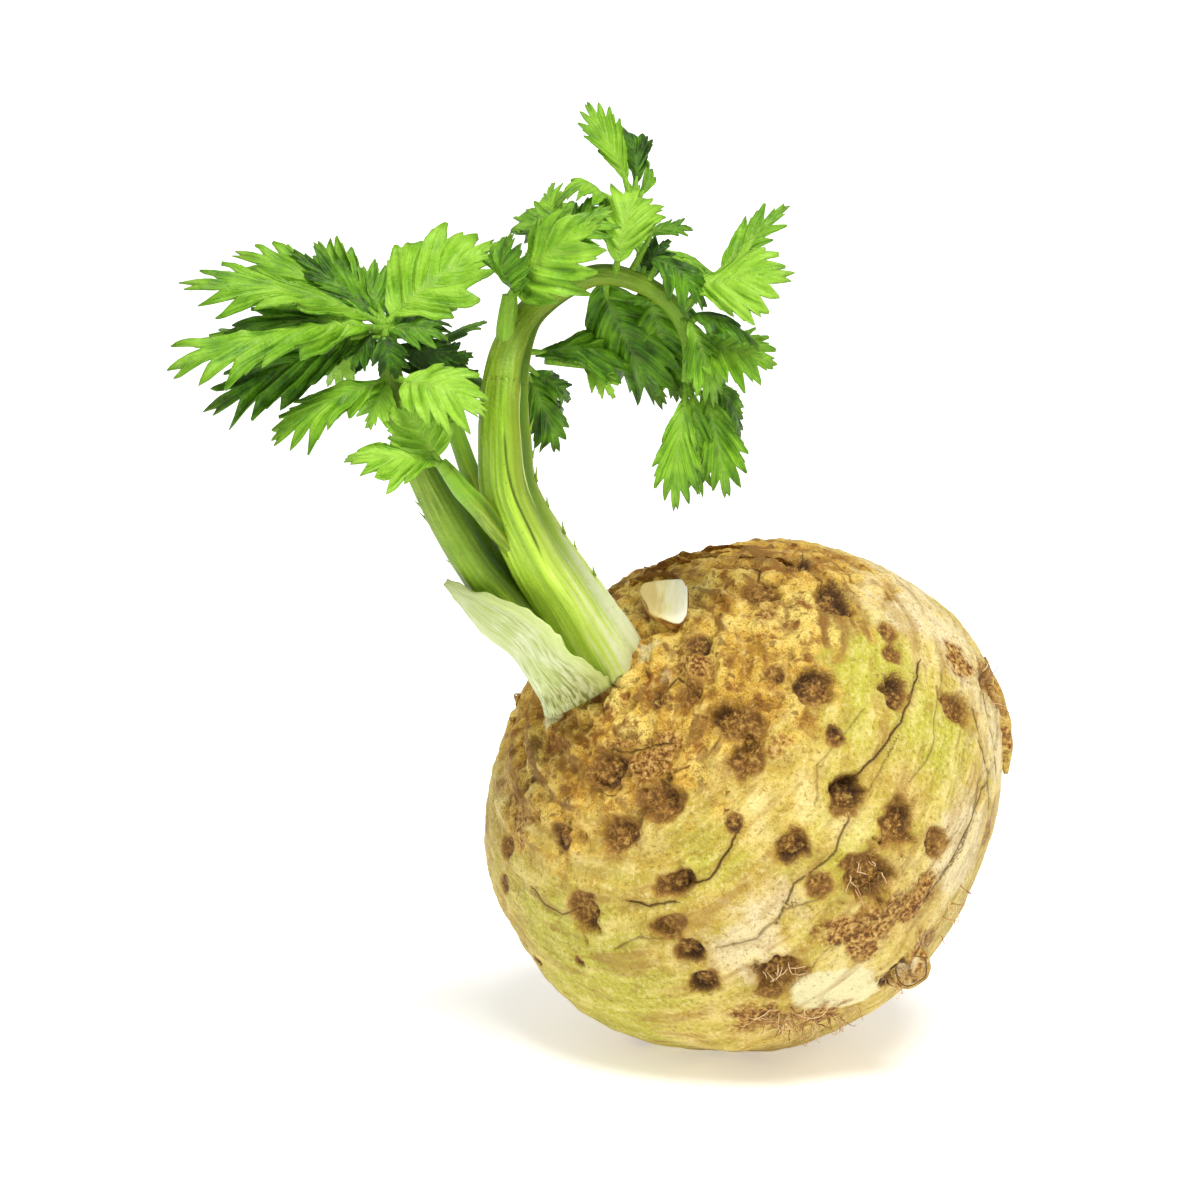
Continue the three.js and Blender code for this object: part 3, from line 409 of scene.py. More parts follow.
def distance_to_line(points, line):
    """Distance in mm from each point near the ball to a line of points, and its side of the line, 1 or -1."""
    nearest, side = np.full(len(points), np.inf), np.ones(len(points))
    for a, b in zip(line, line[1:]):
        along = b - a
        t = np.clip((points - a) @ along / (along @ along), 0, 1)
        away = np.linalg.norm(points - a - t[:, None] * along, axis=1)
        closer = away < nearest
        side[closer] = np.sign(points[closer] @ np.cross(a, b))
        nearest = np.minimum(nearest, away)
    return nearest, side


crease_side = np.full(len(dirs), FAR)
crease_away = np.full(len(dirs), FAR)
crease_strength = np.zeros(len(dirs))
crease_relief = np.zeros(len(dirs))
shakes = [wobble(dirs * BALL, SHAKE_SIZE, seed) for seed in (1.5, 2.5, 4.5)]
shaken = dirs * BALL + CREASE_SHAKE * np.stack(shakes, axis=1)
for strength, *turns in CREASES + scattered_creases(SCATTERED_CREASES):
    line = np.array([direction(*turn) for turn in turns]) * BALL
    away, side = distance_to_line(shaken, line)
    fall = strength * np.exp(-((away / CREASE_WIDTH) ** 2))
    crease_relief = np.minimum(crease_relief, -CREASE_DEPTH * fall)
    closer = away < crease_away
    crease_side[closer] = (side * away)[closer]
    crease_strength[closer] = strength
    crease_away = np.minimum(crease_away, away)
print("creases:", len(CREASES) + SCATTERED_CREASES)

# %% [markdown]
# Near the crown the skin is rough golden bark with brown scars; further down it is smooth, cream and yellow-green, with
# paler places low down. Where fine roots grew in a mat it is brown and fibrous. A film of pale dry tissue is left round
# the leaf bases, and another where a spade scraped the skin. These zones are painted on the points as numbers from 0
# to 1, which is quick and can be tuned row by row. The material later breaks up their edges with finer noise.

# %% Zones of the skin
CROWN_EDGE = [  # azimuth and the polar angle at which the bark ends there
    (-180, 38), (-140, 34), (-107, 38), (-76, 48), (-55, 56), (-20, 74), (20, 70), (70, 56), (125, 46), (180, 41),
]
GREEN_PATCHES = [  # polar angle, azimuth, spread in degrees, strength
    [63, -56, 10, 0.9], [78, -73, 12, 0.8], [72, -173, 16, 0.9], [62, 166, 14, 0.8], [49, -133, 8, 0.6],
    [85, 60, 18, 0.6], [70, 115, 16, 0.7], [112, 0, 16, 0.5], [100, 140, 15, 0.6], [72, -110, 10, 0.5],
    [36, -44, 5, 0.6], [60, -80, 7, 0.5], [88, 178, 12, 0.9], [50, -52, 7, 0.7], [56, -64, 7, 0.6],
]
PALE_PATCHES = [
    [71, -137, 8, 0.9], [94, -127, 7, 0.8], [94, -88, 9, 0.8], [98, -92, 8, 0.9], [66, -124, 7, 0.4],
    [104, -62, 14, 0.6], [125, 60, 18, 0.8], [135, 170, 16, 0.7], [150, -60, 22, 0.8], [104, 95, 12, 0.6],
    [86, -48, 10, 0.6], [70, -36, 14, 0.6], [80, -20, 14, 0.5],
]
FIBROUS_PATCHES = [  # brown, where fine roots grew in a mat
    [80, -121, 5, 0.9], [85, -115, 5, 0.9], [89, -107, 5.5, 0.9], [92, -100, 4, 0.9], [89, -120, 3, 0.7],
    [104, -112, 6, 1.1], [88, -146, 6, 0.9], [99, -136, 7, 0.9], [96, -48, 6, 1.0], [84, -50, 5, 0.9],
    [102, 40, 8, 0.8], [118, 110, 9, 0.8], [80, 130, 7, 0.7], [108, -80, 6, 0.6], [40, 150, 7, 0.7],
    [17, -150, 6, 0.6], [24, -118, 5, 0.7], [21, -62, 6, 0.9], [30, -92, 4, 0.6], [44, -92, 5, 0.6],
    [26, -134, 5, 0.9], [40, -40, 5, 0.6],
]
FILM_PATCHES = [  # pale dry tissue round the leaf bases, and one scraped place
    [20, 118, 4, 1.0], [6, 60, 5, 0.8], [11, -20, 4, 0.6], [14, -70, 4, 0.4], [93, -128, 5, 1.6],
    [91, -133, 4.5, 1.4], [99, -128, 5, 1.4], [86, -132, 3, 1.0],
]
BARK_EDGE_STRAY, BARK_EDGE_WIDTH = 12, 13  # degrees

rough = wobble(dirs * BALL, 7, 11.0)
bark_edge = np.interp(azimuth, *zip(*CROWN_EDGE)) + BARK_EDGE_STRAY * rough + BARK_EDGE_STRAY * ragged
bark = step(BARK_EDGE_WIDTH, -BARK_EDGE_WIDTH, polar - bark_edge)
green = np.clip(bumps(dirs, GREEN_PATCHES) + 0.35 * rough, 0, 1)
pale = np.clip(bumps(dirs, PALE_PATCHES), 0, 1)
film = np.clip(bumps(dirs, FILM_PATCHES) * (1 + 0.5 * ragged), 0, 1)
fibrous = np.clip(bumps(dirs, FIBROUS_PATCHES) * (1 + 0.8 * ragged), 0, 1)
print("bark covers", round(100 * float((bark > 0.5).mean())), "% of the skin")

# %% [markdown]
# Fine wrinkles follow the parallels, because the root thickened evenly in rings. To stretch the noise that way, it is
# read from places where the distance round the axis is squeezed to a fifth. The same places go to the material, so that
# its finer streaks run with the wrinkles. The bark has lumps of 4 mm and grit of 2 mm as well. All of it moves the
# points themselves, because relief of that size shows at the outline, where a bump in the material would not.

# %% The skin as a mesh
SQUEEZE = 0.2
PARALLEL_RADIUS, MERIDIAN_RADIUS = 45, 57  # mm, typical of the skin, to turn angles into distances
WRINKLE, BARK_LUMP, BARK_GRIT, EYE_GRIT, FLESH_LUMP = 0.5, 0.95, 0.6, 0.7, 0.3  # heights in mm

around = np.radians(azimuth)
ring_radius = PARALLEL_RADIUS * SQUEEZE
ring_place = np.stack(
    [np.cos(around) * ring_radius, np.sin(around) * ring_radius, np.radians(polar) * MERIDIAN_RADIUS], axis=1
)
wrinkles = wobble(ring_place, 2.6, 5.0) + 0.6 * wobble(ring_place, 1.3, 9.0)
lumps = wobble(dirs * BALL, 3.8, 21.0)
grit = wobble(dirs * BALL, 1.8, 33.0)
in_eye = step(1.2, 0.7, eye_distance)
fine_relief = WRINKLE * wrinkles * (0.5 + 0.5 * bark) + (in_eye + 0.8 * fibrous) * EYE_GRIT * grit
fine_relief += bark * (BARK_LUMP * lumps + BARK_GRIT * grit) + FLESH_LUMP * lumps * (1 - bark)
raised = fine_relief / (0.4 + 0.6 * np.maximum(bark, in_eye))  # about -1 in hollows, 1 on ridges
surface = radius + eye_relief + crease_relief + fine_relief
skin_points = dirs * surface[:, None] + BULB_CENTRE
skin_points[:, 2] = np.maximum(skin_points[:, 2], 0)  # flat where it rests on the table
print("wrinkles add", round(float(np.abs(wrinkles * WRINKLE).max()), 2), "mm at most")

# %% [markdown]
# Every piece is made in one way, so one helper does it. It takes points in millimetres and faces, turns all faces
# outwards, and stores marks: numbers on the points, which the material reads by name.

# %% Helper: a piece from points
def make_piece(name, points, faces, material, nodes, marks=None, smooth=True):
    """A closed mesh from points in mm. marks maps an attribute's name to a number, or three, per point."""
    mesh = bpy.data.meshes.new(name)
    points = np.clip(np.asarray(points) * MM, *cad_box)  # a tip stays inside the block model's box
    mesh.from_pydata(points.tolist(), [], [list(map(int, face)) for face in faces])
    for mark, values in (marks or {}).items():
        values = np.asarray(values, dtype=np.float32)
        kind, key = ("FLOAT_VECTOR", "vector") if values.ndim == 2 else ("FLOAT", "value")
        mesh.attributes.new(mark, kind, "POINT").data.foreach_set(key, values.ravel())
    shape = bmesh.new()
    shape.from_mesh(mesh)
    bmesh.ops.recalc_face_normals(shape, faces=shape.faces)
    shape.to_mesh(mesh)
    shape.free()
    mesh.materials.append(material)
    if smooth:
        mesh.shade_smooth()
    piece = bpy.data.objects.new(name, mesh)
    bpy.context.collection.objects.link(piece)
    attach(piece, "root")
    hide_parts(*nodes)
    print(f"{name}: {len(mesh.vertices)} points, {len(mesh.polygons)} faces")
    return piece

# %% [markdown]
# The skin is a thin cork layer over pale flesh, washed and dried, so it is rough with a faint waxy sheen. Every pattern
# on it starts from a noise whose lumps have a real size. Cork cells are 0.03 mm across, which is too fine to show, so
# the finest fibres are drawn at 0.45 mm.

# %% Noises of the skin
def skin_noises(tree):
    """Noises by name, each with lumps of a real size."""
    place = add(tree, "TexCoord", out="Object")
    rings = add(tree, "Attribute", attribute_name="ring_place", out="Vector")
    noises = {}
    for name, where, scale, detail in [
        ("broad", place, per_mm(16), 2.0),
        ("blotch", place, per_mm(4.5), 4.0),
        ("dots", place, per_mm(2.2), 1.0),
        ("grain", place, per_mm(1.0), 3.0),
        ("fibre", place, per_mm(0.45), 2.0),
        ("streak", rings, 1 / 1.3, 3.0),
        ("band", rings, 1 / 4.0, 2.0),
    ]:
        sockets = {"Vector": where, "Scale": scale, "Detail": detail, "Roughness": 0.6}
        noises[name] = add(tree, "TexNoise", sockets)
    return noises

# %% [markdown]
# Colour goes on in layers, each a colour and the share of the surface it takes. This step works out the shares. A zone
# painted on the points has its edge broken up by adding a noise before it is cut off; spots and streaks are a noise
# cut off alone.

# %% How much of each layer shows
def skin_shares(tree, noises):
    """The share of the surface that each layer takes, from 0 to 1."""
    shares = {}  # first of each zone, with its edge broken up
    for name, mark, noise_name, amount, low, high in [
        ("bark", "bark", "blotch", 1.5, 1.0, 1.5),
        ("green", "green", "band", 1.2, 0.65, 1.35),
        ("pale", "pale", "blotch", 1.4, 0.9, 1.35),
        ("fibrous", "fibrous", "blotch", 1.6, 1.15, 1.5),
        ("film", "film", "blotch", 1.2, 0.95, 1.25),
        # The next two are painted shade in the hollows of the relief and a painted highlight on its ridges.
        ("hollow", "raised", "grain", 0.8, 0.36, -0.4),
        ("ridge", "raised", "grain", 0.8, 0.5, 1.2),
        ("halo", "eye", "blotch", -1.8, 0.4, -0.3),
        ("eye", "eye", "grain", -1.3, 0.42, 0.2),
        ("eye rim", "eye", "grain", -0.8, 0.45, 0.28),
        ("eye middle", "eye", "grain", -0.8, 0.2, 0.0),
    ]:
        number = add(tree, "Attribute", attribute_name=mark, out="Fac")
        raised = add(tree, "Math", [noises[noise_name], amount, number], operation="MULTIPLY_ADD")
        shares[name] = add(tree, "MapRange", {"Value": raised, "From Min": low, "From Max": high})
    for name, noise_name, low, high, top in [  # noises cut off to spots and streaks
        ("light streak", "streak", 0.52, 0.7, 0.4),
        ("dark streak", "streak", 0.48, 0.34, 0.36),
        ("smear", "band", 0.43, 0.3, 0.6),
        ("scar", "band", 0.45, 0.33, 0.9),
        ("mottle", "grain", 0.46, 0.36, 0.4),
        ("brown blotch", "blotch", 0.48, 0.36, 0.9),
        ("dark dot", "dots", 0.37, 0.3, 0.6),
        ("speck", "grain", 0.4, 0.3, 0.45),
        ("fleck", "fibre", 0.49, 0.38, 0.6),
        ("light fleck", "grain", 0.54, 0.66, 0.5),
    ]:
        sockets = {"Value": noises[noise_name], "From Min": low, "From Max": high, "To Max": top}
        shares[name] = add(tree, "MapRange", sockets)
    for name, first, second in [
        ("bark blotch", "bark", "brown blotch"),
        ("bark dot", "bark", "dark dot"),
        ("bark fleck", "bark", "fleck"),
        ("bark light", "bark", "light fleck"),
        ("bark scar", "bark", "scar"),
        ("bark hollow shade", "bark", "hollow"),
        ("bark ridge light", "bark", "ridge"),
    ]:
        shares[name] = add(tree, "Math", [shares[first], shares[second]], operation="MULTIPLY")
    shares["flesh fleck"] = add(tree, "Math", [shares["fleck"], 0.5], operation="MULTIPLY")
    for name, top in [("hollow", 0.5), ("ridge", 0.45), ("bark hollow shade", 0.75), ("bark ridge light", 0.55)]:
        shares[name] = add(tree, "Math", [shares[name], top], operation="MULTIPLY")
    # The tone is low in fresh eyes and, as painted shade, on each eye's steep wall, where the ring and grains darken.
    tone = add(tree, "Attribute", attribute_name="eye_tone", out="Fac")
    fresh = add(tree, "MapRange", {"Value": tone, "From Max": 0.6, "To Min": 0.9, "To Max": 0.1})
    ring = add(tree, "Math", [shares["eye rim"], shares["eye middle"]], operation="SUBTRACT")
    shares["eye ring"] = add(tree, "Math", [ring, fresh], operation="MULTIPLY")
    dark = add(tree, "MapRange", {"Value": tone, "From Min": 0.3, "From Max": 0.0, "To Max": 0.45})
    shares["dark eye"] = add(tree, "Math", [dark, shares["eye"]], operation="MULTIPLY")
    shares["halo"] = add(tree, "Math", [shares["halo"], 0.8], operation="MULTIPLY")
    old = add(tree, "Math", [tone, 0.5], operation="MULTIPLY")
    shares["old eye"] = add(tree, "Math", [shares["eye"], old], operation="MULTIPLY")

    # A crease is where the signed distance is near zero, and only as far as the plain distance is small too.
    side = add(tree, "Attribute", attribute_name="crease_side", out="Fac")
    side = add(tree, "Math", [noises["grain"], 0.4, side], operation="MULTIPLY_ADD")
    side = add(tree, "Math", [side, 0.2], operation="SUBTRACT")
    side = add(tree, "Math", [side], operation="ABSOLUTE")
    away = add(tree, "Attribute", attribute_name="crease_away", out="Fac")
    strength = add(tree, "Attribute", attribute_name="crease_strength", out="Fac")
    close = add(tree, "MapRange", {"Value": away, "From Min": 1.6, "From Max": 1.0})
    close = add(tree, "Math", [close, strength], operation="MULTIPLY")
    for name, low, high in [("crease", 0.36, 0.08), ("crease shade", 1.4, 0.2)]:
        line = add(tree, "MapRange", {"Value": side, "From Min": low, "From Max": high})
        shares[name] = add(tree, "Math", [line, close], operation="MULTIPLY")
    shares["crease shade"] = add(tree, "Math", [shares["crease shade"], 0.5], operation="MULTIPLY")
    return shares

# %% [markdown]
# The layers go on from the flesh outwards: the straw tint of the flesh, green where light reached it, streaks that run
# round the root, small flecks, golden bark with brown scars, a pale film, mats of fibre, creases, and last the eyes,
# each with a tan halo, dark grains and a darker ring, darker still on the steep wall as painted shade. Hollows of the
# relief get painted shade and ridges a painted highlight. IOR 1.45 is typical of plant tissue.

# %% Material: washed cork skin
def washed_cork_skin():
    """Washed cork is matt and mealy, with grains from straw to nearly black, so no two spots have one colour."""
    material, tree = blank_material("washed_cork_skin")
    noises = skin_noises(tree)
    shares = skin_shares(tree, noises)
    skin, bark, cork, mat = (
        add(tree, "ValToRGB", [noises[name]], stops)
        for name, stops in [
            ("broad", [(0.34, "#e0ca80"), (0.44, "#cfb558"), (0.54, "#b99c3e"), (0.66, "#cfb364")]),
            ("broad", [(0.34, "#a07424"), (0.43, "#bf9434"), (0.52, "#d4ac46"), (0.64, "#e2c868")]),
            ("grain", [(0.34, "#36200a"), (0.43, "#5c3a12"), (0.51, "#825a22"), (0.59, "#a47e38"), (0.7, "#c6a45c")]),
            ("grain", [(0.34, "#4a260a"), (0.44, "#7c4e1c"), (0.53, "#a67c38"), (0.66, "#ccaa66")]),
        ]
    )
    for name, over in [
        ("green", "#b8b43c"),
        ("pale", "#e2d0a4"),
        ("light streak", "#e6d28c"),
        ("dark streak", "#937430"),
        ("mottle", "#a98c3c"),
        ("flesh fleck", "#a08638"),
        ("light fleck", "#e2d290"),
        # Painted shade in the hollows, then a painted highlight on the ridges.
        ("hollow", "#9c8138"),
        ("ridge", "#ecd890"),
        ("bark", bark),
        ("bark light", "#e2c87a"),
        ("bark fleck", "#83541a"),
        # A painted highlight on the ridges of the bark.
        ("bark ridge light", "#e8cc76"),
        ("bark scar", "#5a2e08"),
        ("bark blotch", "#7f4a14"),
        ("bark dot", "#47290e"),
        # Painted shade in the hollows of the bark.
        ("bark hollow shade", "#75450f"),
        ("film", "#e0d6a4"),
        ("fibrous", mat),
        ("smear", "#9a7430"),
        ("speck", "#76531f"),
        ("crease shade", "#8a6c2c"),
        ("crease", "#5e421a"),
        ("halo", "#a07a2a"),
        ("eye", cork),
        ("old eye", "#93682e"),
        ("dark eye", "#5a4020"),
        ("eye ring", "#3a2008"),
    ]:
        skin = add(tree, "Mix", {0: shares[name], 6: skin, 7: over}, out=2, data_type="RGBA")

    height = noises["grain"]
    for name, amount in [("streak", 0.8), ("fibre", 0.45), ("dots", 0.9)]:
        height = add(tree, "Math", [noises[name], amount, height], operation="MULTIPLY_ADD")
    height = add(tree, "Math", [shares["crease"], -0.8, height], operation="MULTIPLY_ADD")
    normal = add(tree, "Bump", {"Height": height, "Strength": 0.9, "Distance": 0.7 * MM})
    gloss = add(tree, "MapRange", {"Value": noises["grain"], "To Min": 0.4, "To Max": 0.75})
    sockets = {"Base Color": skin, "Roughness": gloss, "IOR": 1.45, "Specular IOR Level": 0.25, "Normal": normal}
    shader = add(tree, "BsdfPrincipled", sockets)
    add(tree, "OutputMaterial", {"Surface": shader})
    return material


SKIN = washed_cork_skin()
marks = {
    "eye": eye_distance, "eye_tone": eye_tone, "bark": bark, "green": green, "pale": pale, "fibrous": fibrous,
    "film": film, "raised": raised, "ring_place": ring_place,
    "crease_side": crease_side, "crease_away": crease_away, "crease_strength": crease_strength,
}
make_piece("celeriac_skin", skin_points, ball_faces, SKIN, ["bulb"], marks)

# %% [markdown]
# A stalk is a long tapered body swept along a curve through a few points. At each point it has a width and a depth,
# and one side of it has the groove that every celery stalk has. The lower part of a stalk is one piece and the upper
# part another, because the upper part grew as one with the leaflets.

# %% Paths of the stalks
# Each has the way its flank faces, the depth of its groove, where its upper part begins, and how wide in radians the
# shade of its groove is. A point is its place, then its width and depth.
ARCHED = dict(
    side=[0.45, 0.9, 0], groove=2.6, split=0.44, hollow=0.5,
    crack=(-1.0, 0.2, 0.35), rim=(-0.3, 0.24, 0.42),  # the angle round it, and from where to where along it
    points=[
        [-23, -6, 84.5, 15.5, 17], [-27.5, -21, 95.5, 15.5, 17.5], [-35, -34, 109, 15, 17],
        [-43, -42, 123, 13.5, 15], [-48.5, -46, 136, 12, 13], [-49.5, -47, 147, 11, 12],
        [-49.5, -45, 157.5, 9.6, 10.8], [-48, -42, 166, 8, 9.5], [-44.5, -40, 173, 6, 7],
        [-37.5, -38, 178.5, 5, 6], [-28.5, -36, 181.5, 4.6, 5], [-20.5, -34, 179.5, 4.2, 4.6],
        [-14, -33, 175, 4, 4], [-10, -32, 167, 3.5, 3.5], [-10, -32, 158, 3, 3],
    ],
)
ARCHED_FORK = dict(
    side=[0.45, 0.9, 0], groove=0.4, split=1,
    points=[[-48.5, -42, 164, 6, 6], [-49, -42.5, 171, 5, 5], [-48.5, -43, 178, 3.2, 3.2]],
)
ARCHED_CREST = dict(
    side=[0.45, 0.9, 0], groove=0.3, split=1,
    points=[
        [-39, -38, 177.5, 4, 4], [-37.5, -38, 187.5, 3.4, 3.4], [-29.5, -36.5, 191.5, 3, 3],
        [-22, -35, 196, 2.4, 2.4],
    ],
)
LEFT = dict(
    side=[0.5, 0.86, 0], groove=1.8, split=0.68, hollow=1.1,
    points=[
        [-33.5, -22, 87.5, 12, 13], [-41.5, -31, 100.5, 11.5, 12], [-48.5, -35, 110, 11, 11.5],
        [-54.5, -37, 117.5, 10.5, 11.2], [-60.5, -39, 127.5, 9.6, 10.6], [-66, -41, 138, 8.4, 9.2],
        [-70, -42, 147, 7, 7.6], [-72.5, -42, 154, 5.6, 6], [-74, -42, 160.5, 4.8, 5],
        [-74.5, -42, 167, 4, 4], [-75, -42, 171.5, 3.4, 3.4],
    ],
)
INNER = dict(
    side=[0.6, 0.8, 0], groove=0.5, split=0.86,
    points=[
        [-31.5, -26, 97.5, 5, 5.4], [-41.5, -30, 109.5, 5, 5.4], [-51, -31, 123, 4.6, 5],
        [-57, -31.5, 136.5, 4.2, 4.6], [-61, -31, 147.5, 3.8, 4], [-65, -30, 156, 3.2, 3.4],
        [-68.5, -30, 162, 2.6, 2.6],
    ],
)
YOUNG = dict(
    side=[0.6, 0.8, 0], groove=0.5, split=0.86,
    points=[  # the first is inside the thick stalk
        [-46.5, -43, 119.5, 3, 3.4], [-49, -46, 124.5, 3.8, 4.2], [-52, -49.5, 129, 4.4, 4.8],
        [-55, -52.5, 133.5, 4.5, 4.8], [-58.5, -54.5, 137.5, 4.2, 4.4], [-61, -55, 141, 3.6, 3.6],
        [-63, -55, 143.5, 2.8, 2.8],
    ],
)
STUMP = dict(
    side=[1, 0.1, 0], groove=1, split=1,
    points=[[-13, -9, 97, 12.5, 14], [-14, -14.5, 102.5, 12.5, 14.5], [-15, -19.5, 107, 12.5, 15]],
)

# %% [markdown]
# The curve is a centripetal Catmull-Rom spline: it goes through every point and never loops. Width and depth are
# blended from point to point, and the groove is kept square to the curve.

# %% Helpers: a curve through points
def along_curve(points, t):
    """The point and direction at t from 0 to 1 on a centripetal Catmull-Rom curve."""
    points = np.asarray(points, float)
    points = np.concatenate([[2 * points[0] - points[1]], points, [2 * points[-1] - points[-2]]])
    last = len(points) - 3
    i = min(int(t * last), last - 1)
    w = t * last - i
    p0, p1, p2, p3 = points[i : i + 4]
    d0, d1, d2 = (np.linalg.norm(b - a) ** 0.5 for a, b in ((p0, p1), (p1, p2), (p2, p3)))
    m1 = ((p1 - p0) / d0 - (p2 - p0) / (d0 + d1) + (p2 - p1) / d1) * d1
    m2 = ((p2 - p1) / d1 - (p3 - p1) / (d1 + d2) + (p3 - p2) / d2) * d1
    square, cube = -3 * p1 + 3 * p2 - 2 * m1 - m2, 2 * p1 - 2 * p2 + m1 + m2
    ahead = m1 + 2 * square * w + 3 * cube * w**2
    return p1 + m1 * w + square * w**2 + cube * w**3, ahead / np.linalg.norm(ahead)


def station(path, t):
    """Place, direction, groove side, flank, width and depth of a stalk at t."""
    table = np.array(path["points"], float)
    point, ahead = along_curve(table[:, :3], t)
    groove = np.cross(path["side"], ahead)
    groove /= np.linalg.norm(groove)
    spots = np.linspace(0, 1, len(table))
    return point, ahead, groove, np.cross(ahead, groove), *(np.interp(t, spots, table[:, k]) for k in (3, 4))


print("the thick stalk ends at", along_curve([p[:3] for p in ARCHED["points"]], 1)[0])

# %% [markdown]
# A lofted body is a row of rings, each joined to the next, with both ends closed by a fan. Many small bodies, such as
# leaflets, are gathered into one piece, because one mesh with one material is easier to handle than fifty.

# %% Helpers: lofted bodies, and pieces made of many
def loft(rings):
    """A closed body through rings of points, given as rings by points by xyz."""
    count, n = rings.shape[:2]
    points = np.concatenate([rings.reshape(-1, 3), [rings[0].mean(0)], [rings[-1].mean(0)]])
    faces = []
    for j in range(n):
        k = (j + 1) % n
        faces += [(i * n + j, i * n + k, (i + 1) * n + k, (i + 1) * n + j) for i in range(count - 1)]
        faces += [(count * n, k, j), (count * n + 1, (count - 1) * n + j, (count - 1) * n + k)]
    return points, faces


def ring_marks(values):
    """Marks of a lofted body, with those of its two end points added."""
    values = np.asarray(values, float)
    return np.concatenate([values.reshape(-1), [values[0].mean(), values[-1].mean()]])


class Parts:
    """Small closed meshes that together become one piece."""

    def __init__(self):
        self.points, self.faces, self.marks, self.count = [], [], {}, 0

    def add(self, points, faces, **marks):
        self.points.append(np.asarray(points, float))
        self.faces += [[i + self.count for i in face] for face in faces]
        for name, values in marks.items():
            values = np.asarray(values, float)
            self.marks.setdefault(name, []).append(values if values.ndim else np.full(len(points), values))
        self.count += len(points)

    def make(self, name, material, slot, nodes, smooth=True):
        marks = {name: np.concatenate(values) for name, values in self.marks.items()}
        return make_piece(name, np.concatenate(self.points), self.faces, material, nodes, marks, smooth)

# %% [markdown]
# Celery stalks are ribbed: strings of tough fibre stand out as fine ridges all along. Here the section is an ellipse
# whose radius also rises and falls as the sum of three waves round it, so that no two ribs are alike. The thick stalk
# has dried a little: one line in it has split open, and beside it the skin stands up in a pale rim.

# %% Helper: a ribbed limb
RIBS = ((13, 0.014), (21, 0.010), (31, 0.006))  # waves round the stalk, and their height as a share of the radius
RIB_SUM = 0.05  # by which the waves' sum is divided, to mark ribs near 1 and furrows near 0
FINE_SIDES = 100  # a stalk drawn with fewer sides than this has lower ribs
GROOVE_WIDTH = 0.4  # radians
STREAK_SQUEEZE = 0.05  # streaks along a stalk are twenty times as long as wide
POINT_STEP = 12  # mm, typical from one point of a stalk's path to the next
INSIDE = 0.43  # angle round a stalk, in radians from its groove, of the side that faces the others
SPLIT_WIDTH, SPLIT_DEPTH = 0.06, 0.7  # of a dried split along a stalk, in radians and in mm
SPLIT_TAPER = 0.04  # how soon the split opens and closes, as a share of the stalk's length
DENTS = 0.025  # how uneven a stalk is, as a share of its radius


def ribbed_limb(path, start=0.0, end=1.0, rings=140, sides=132, green_from=0.0):
    """Points, faces and marks of a ribbed and grooved limb. green_from is added to its place along the stalk."""
    turn = np.linspace(-math.pi, math.pi, sides, endpoint=False)
    grid, along, ribs, streaks, splits, rims = [], [], [], [], [], []
    lines = [path.get(name, (0, 2, 2)) for name in ("crack", "rim")]
    for t in np.linspace(start, end, rings):
        point, _, groove, flank, wide, deep = station(path, t)
        waves = [height * np.cos(count * turn + 1.5 * math.sin(5 * t + count)) for count, height in RIBS]
        r = 1 / np.hypot(2 * np.cos(turn) / deep, 2 * np.sin(turn) / wide)
        r *= 1 + sum(waves) * min(1, sides / FINE_SIDES)
        r -= path["groove"] * deep / path["points"][0][4] * np.exp(-((turn / GROOVE_WIDTH) ** 2))
        crack, rim = (
            np.exp(-(((turn - at - 0.1 * math.sin(30 * t)) / SPLIT_WIDTH) ** 2))
            * step(low, low + SPLIT_TAPER, t) * step(high + SPLIT_TAPER, high, t)
            for at, low, high in lines
        )
        r -= SPLIT_DEPTH * (crack - 0.4 * rim)
        splits.append(crack)
        rims.append(rim)
        grid.append(point + np.outer(r * np.cos(turn), groove) + np.outer(r * np.sin(turn), flank))
        along.append(np.full(sides, t + green_from))
        ribs.append(0.5 + sum(waves) / RIB_SUM)
        length = t * len(path["points"]) * POINT_STEP * STREAK_SQUEEZE
        streaks.append(np.stack([wide / 2 * np.cos(turn), wide / 2 * np.sin(turn), 0 * turn + length], axis=1))
    grid, streaks = np.array(grid), np.array(streaks)
    turns = np.broadcast_to(turn, grid.shape[:2])
    rough = wobble(grid.reshape(-1, 3), 6, 2.0) + 0.5 * wobble(grid.reshape(-1, 3), 2.2, 8.0)
    middle = grid.mean(1, keepdims=True)
    grid = middle + (grid - middle) * (1 + DENTS * rough.reshape(grid.shape[:2])[..., None])
    marks = dict(
        along=ring_marks(along),
        # Painted shade along the groove, as wide as the path gives.
        hollow=ring_marks(np.exp(-((turns / path.get("hollow", 0.5)) ** 2))),
        rib=ring_marks(ribs),
        inside=ring_marks(np.cos(turns - INSIDE)),
        crack=ring_marks(splits),
        rim=ring_marks(rims),
    )
    ends = [streaks[0].mean(0), streaks[-1].mean(0)]
    marks["streak_place"] = np.concatenate([streaks.reshape(-1, 3), ends])
    return *loft(grid), marks


print("ribs round a stalk:", [count for count, _ in RIBS])
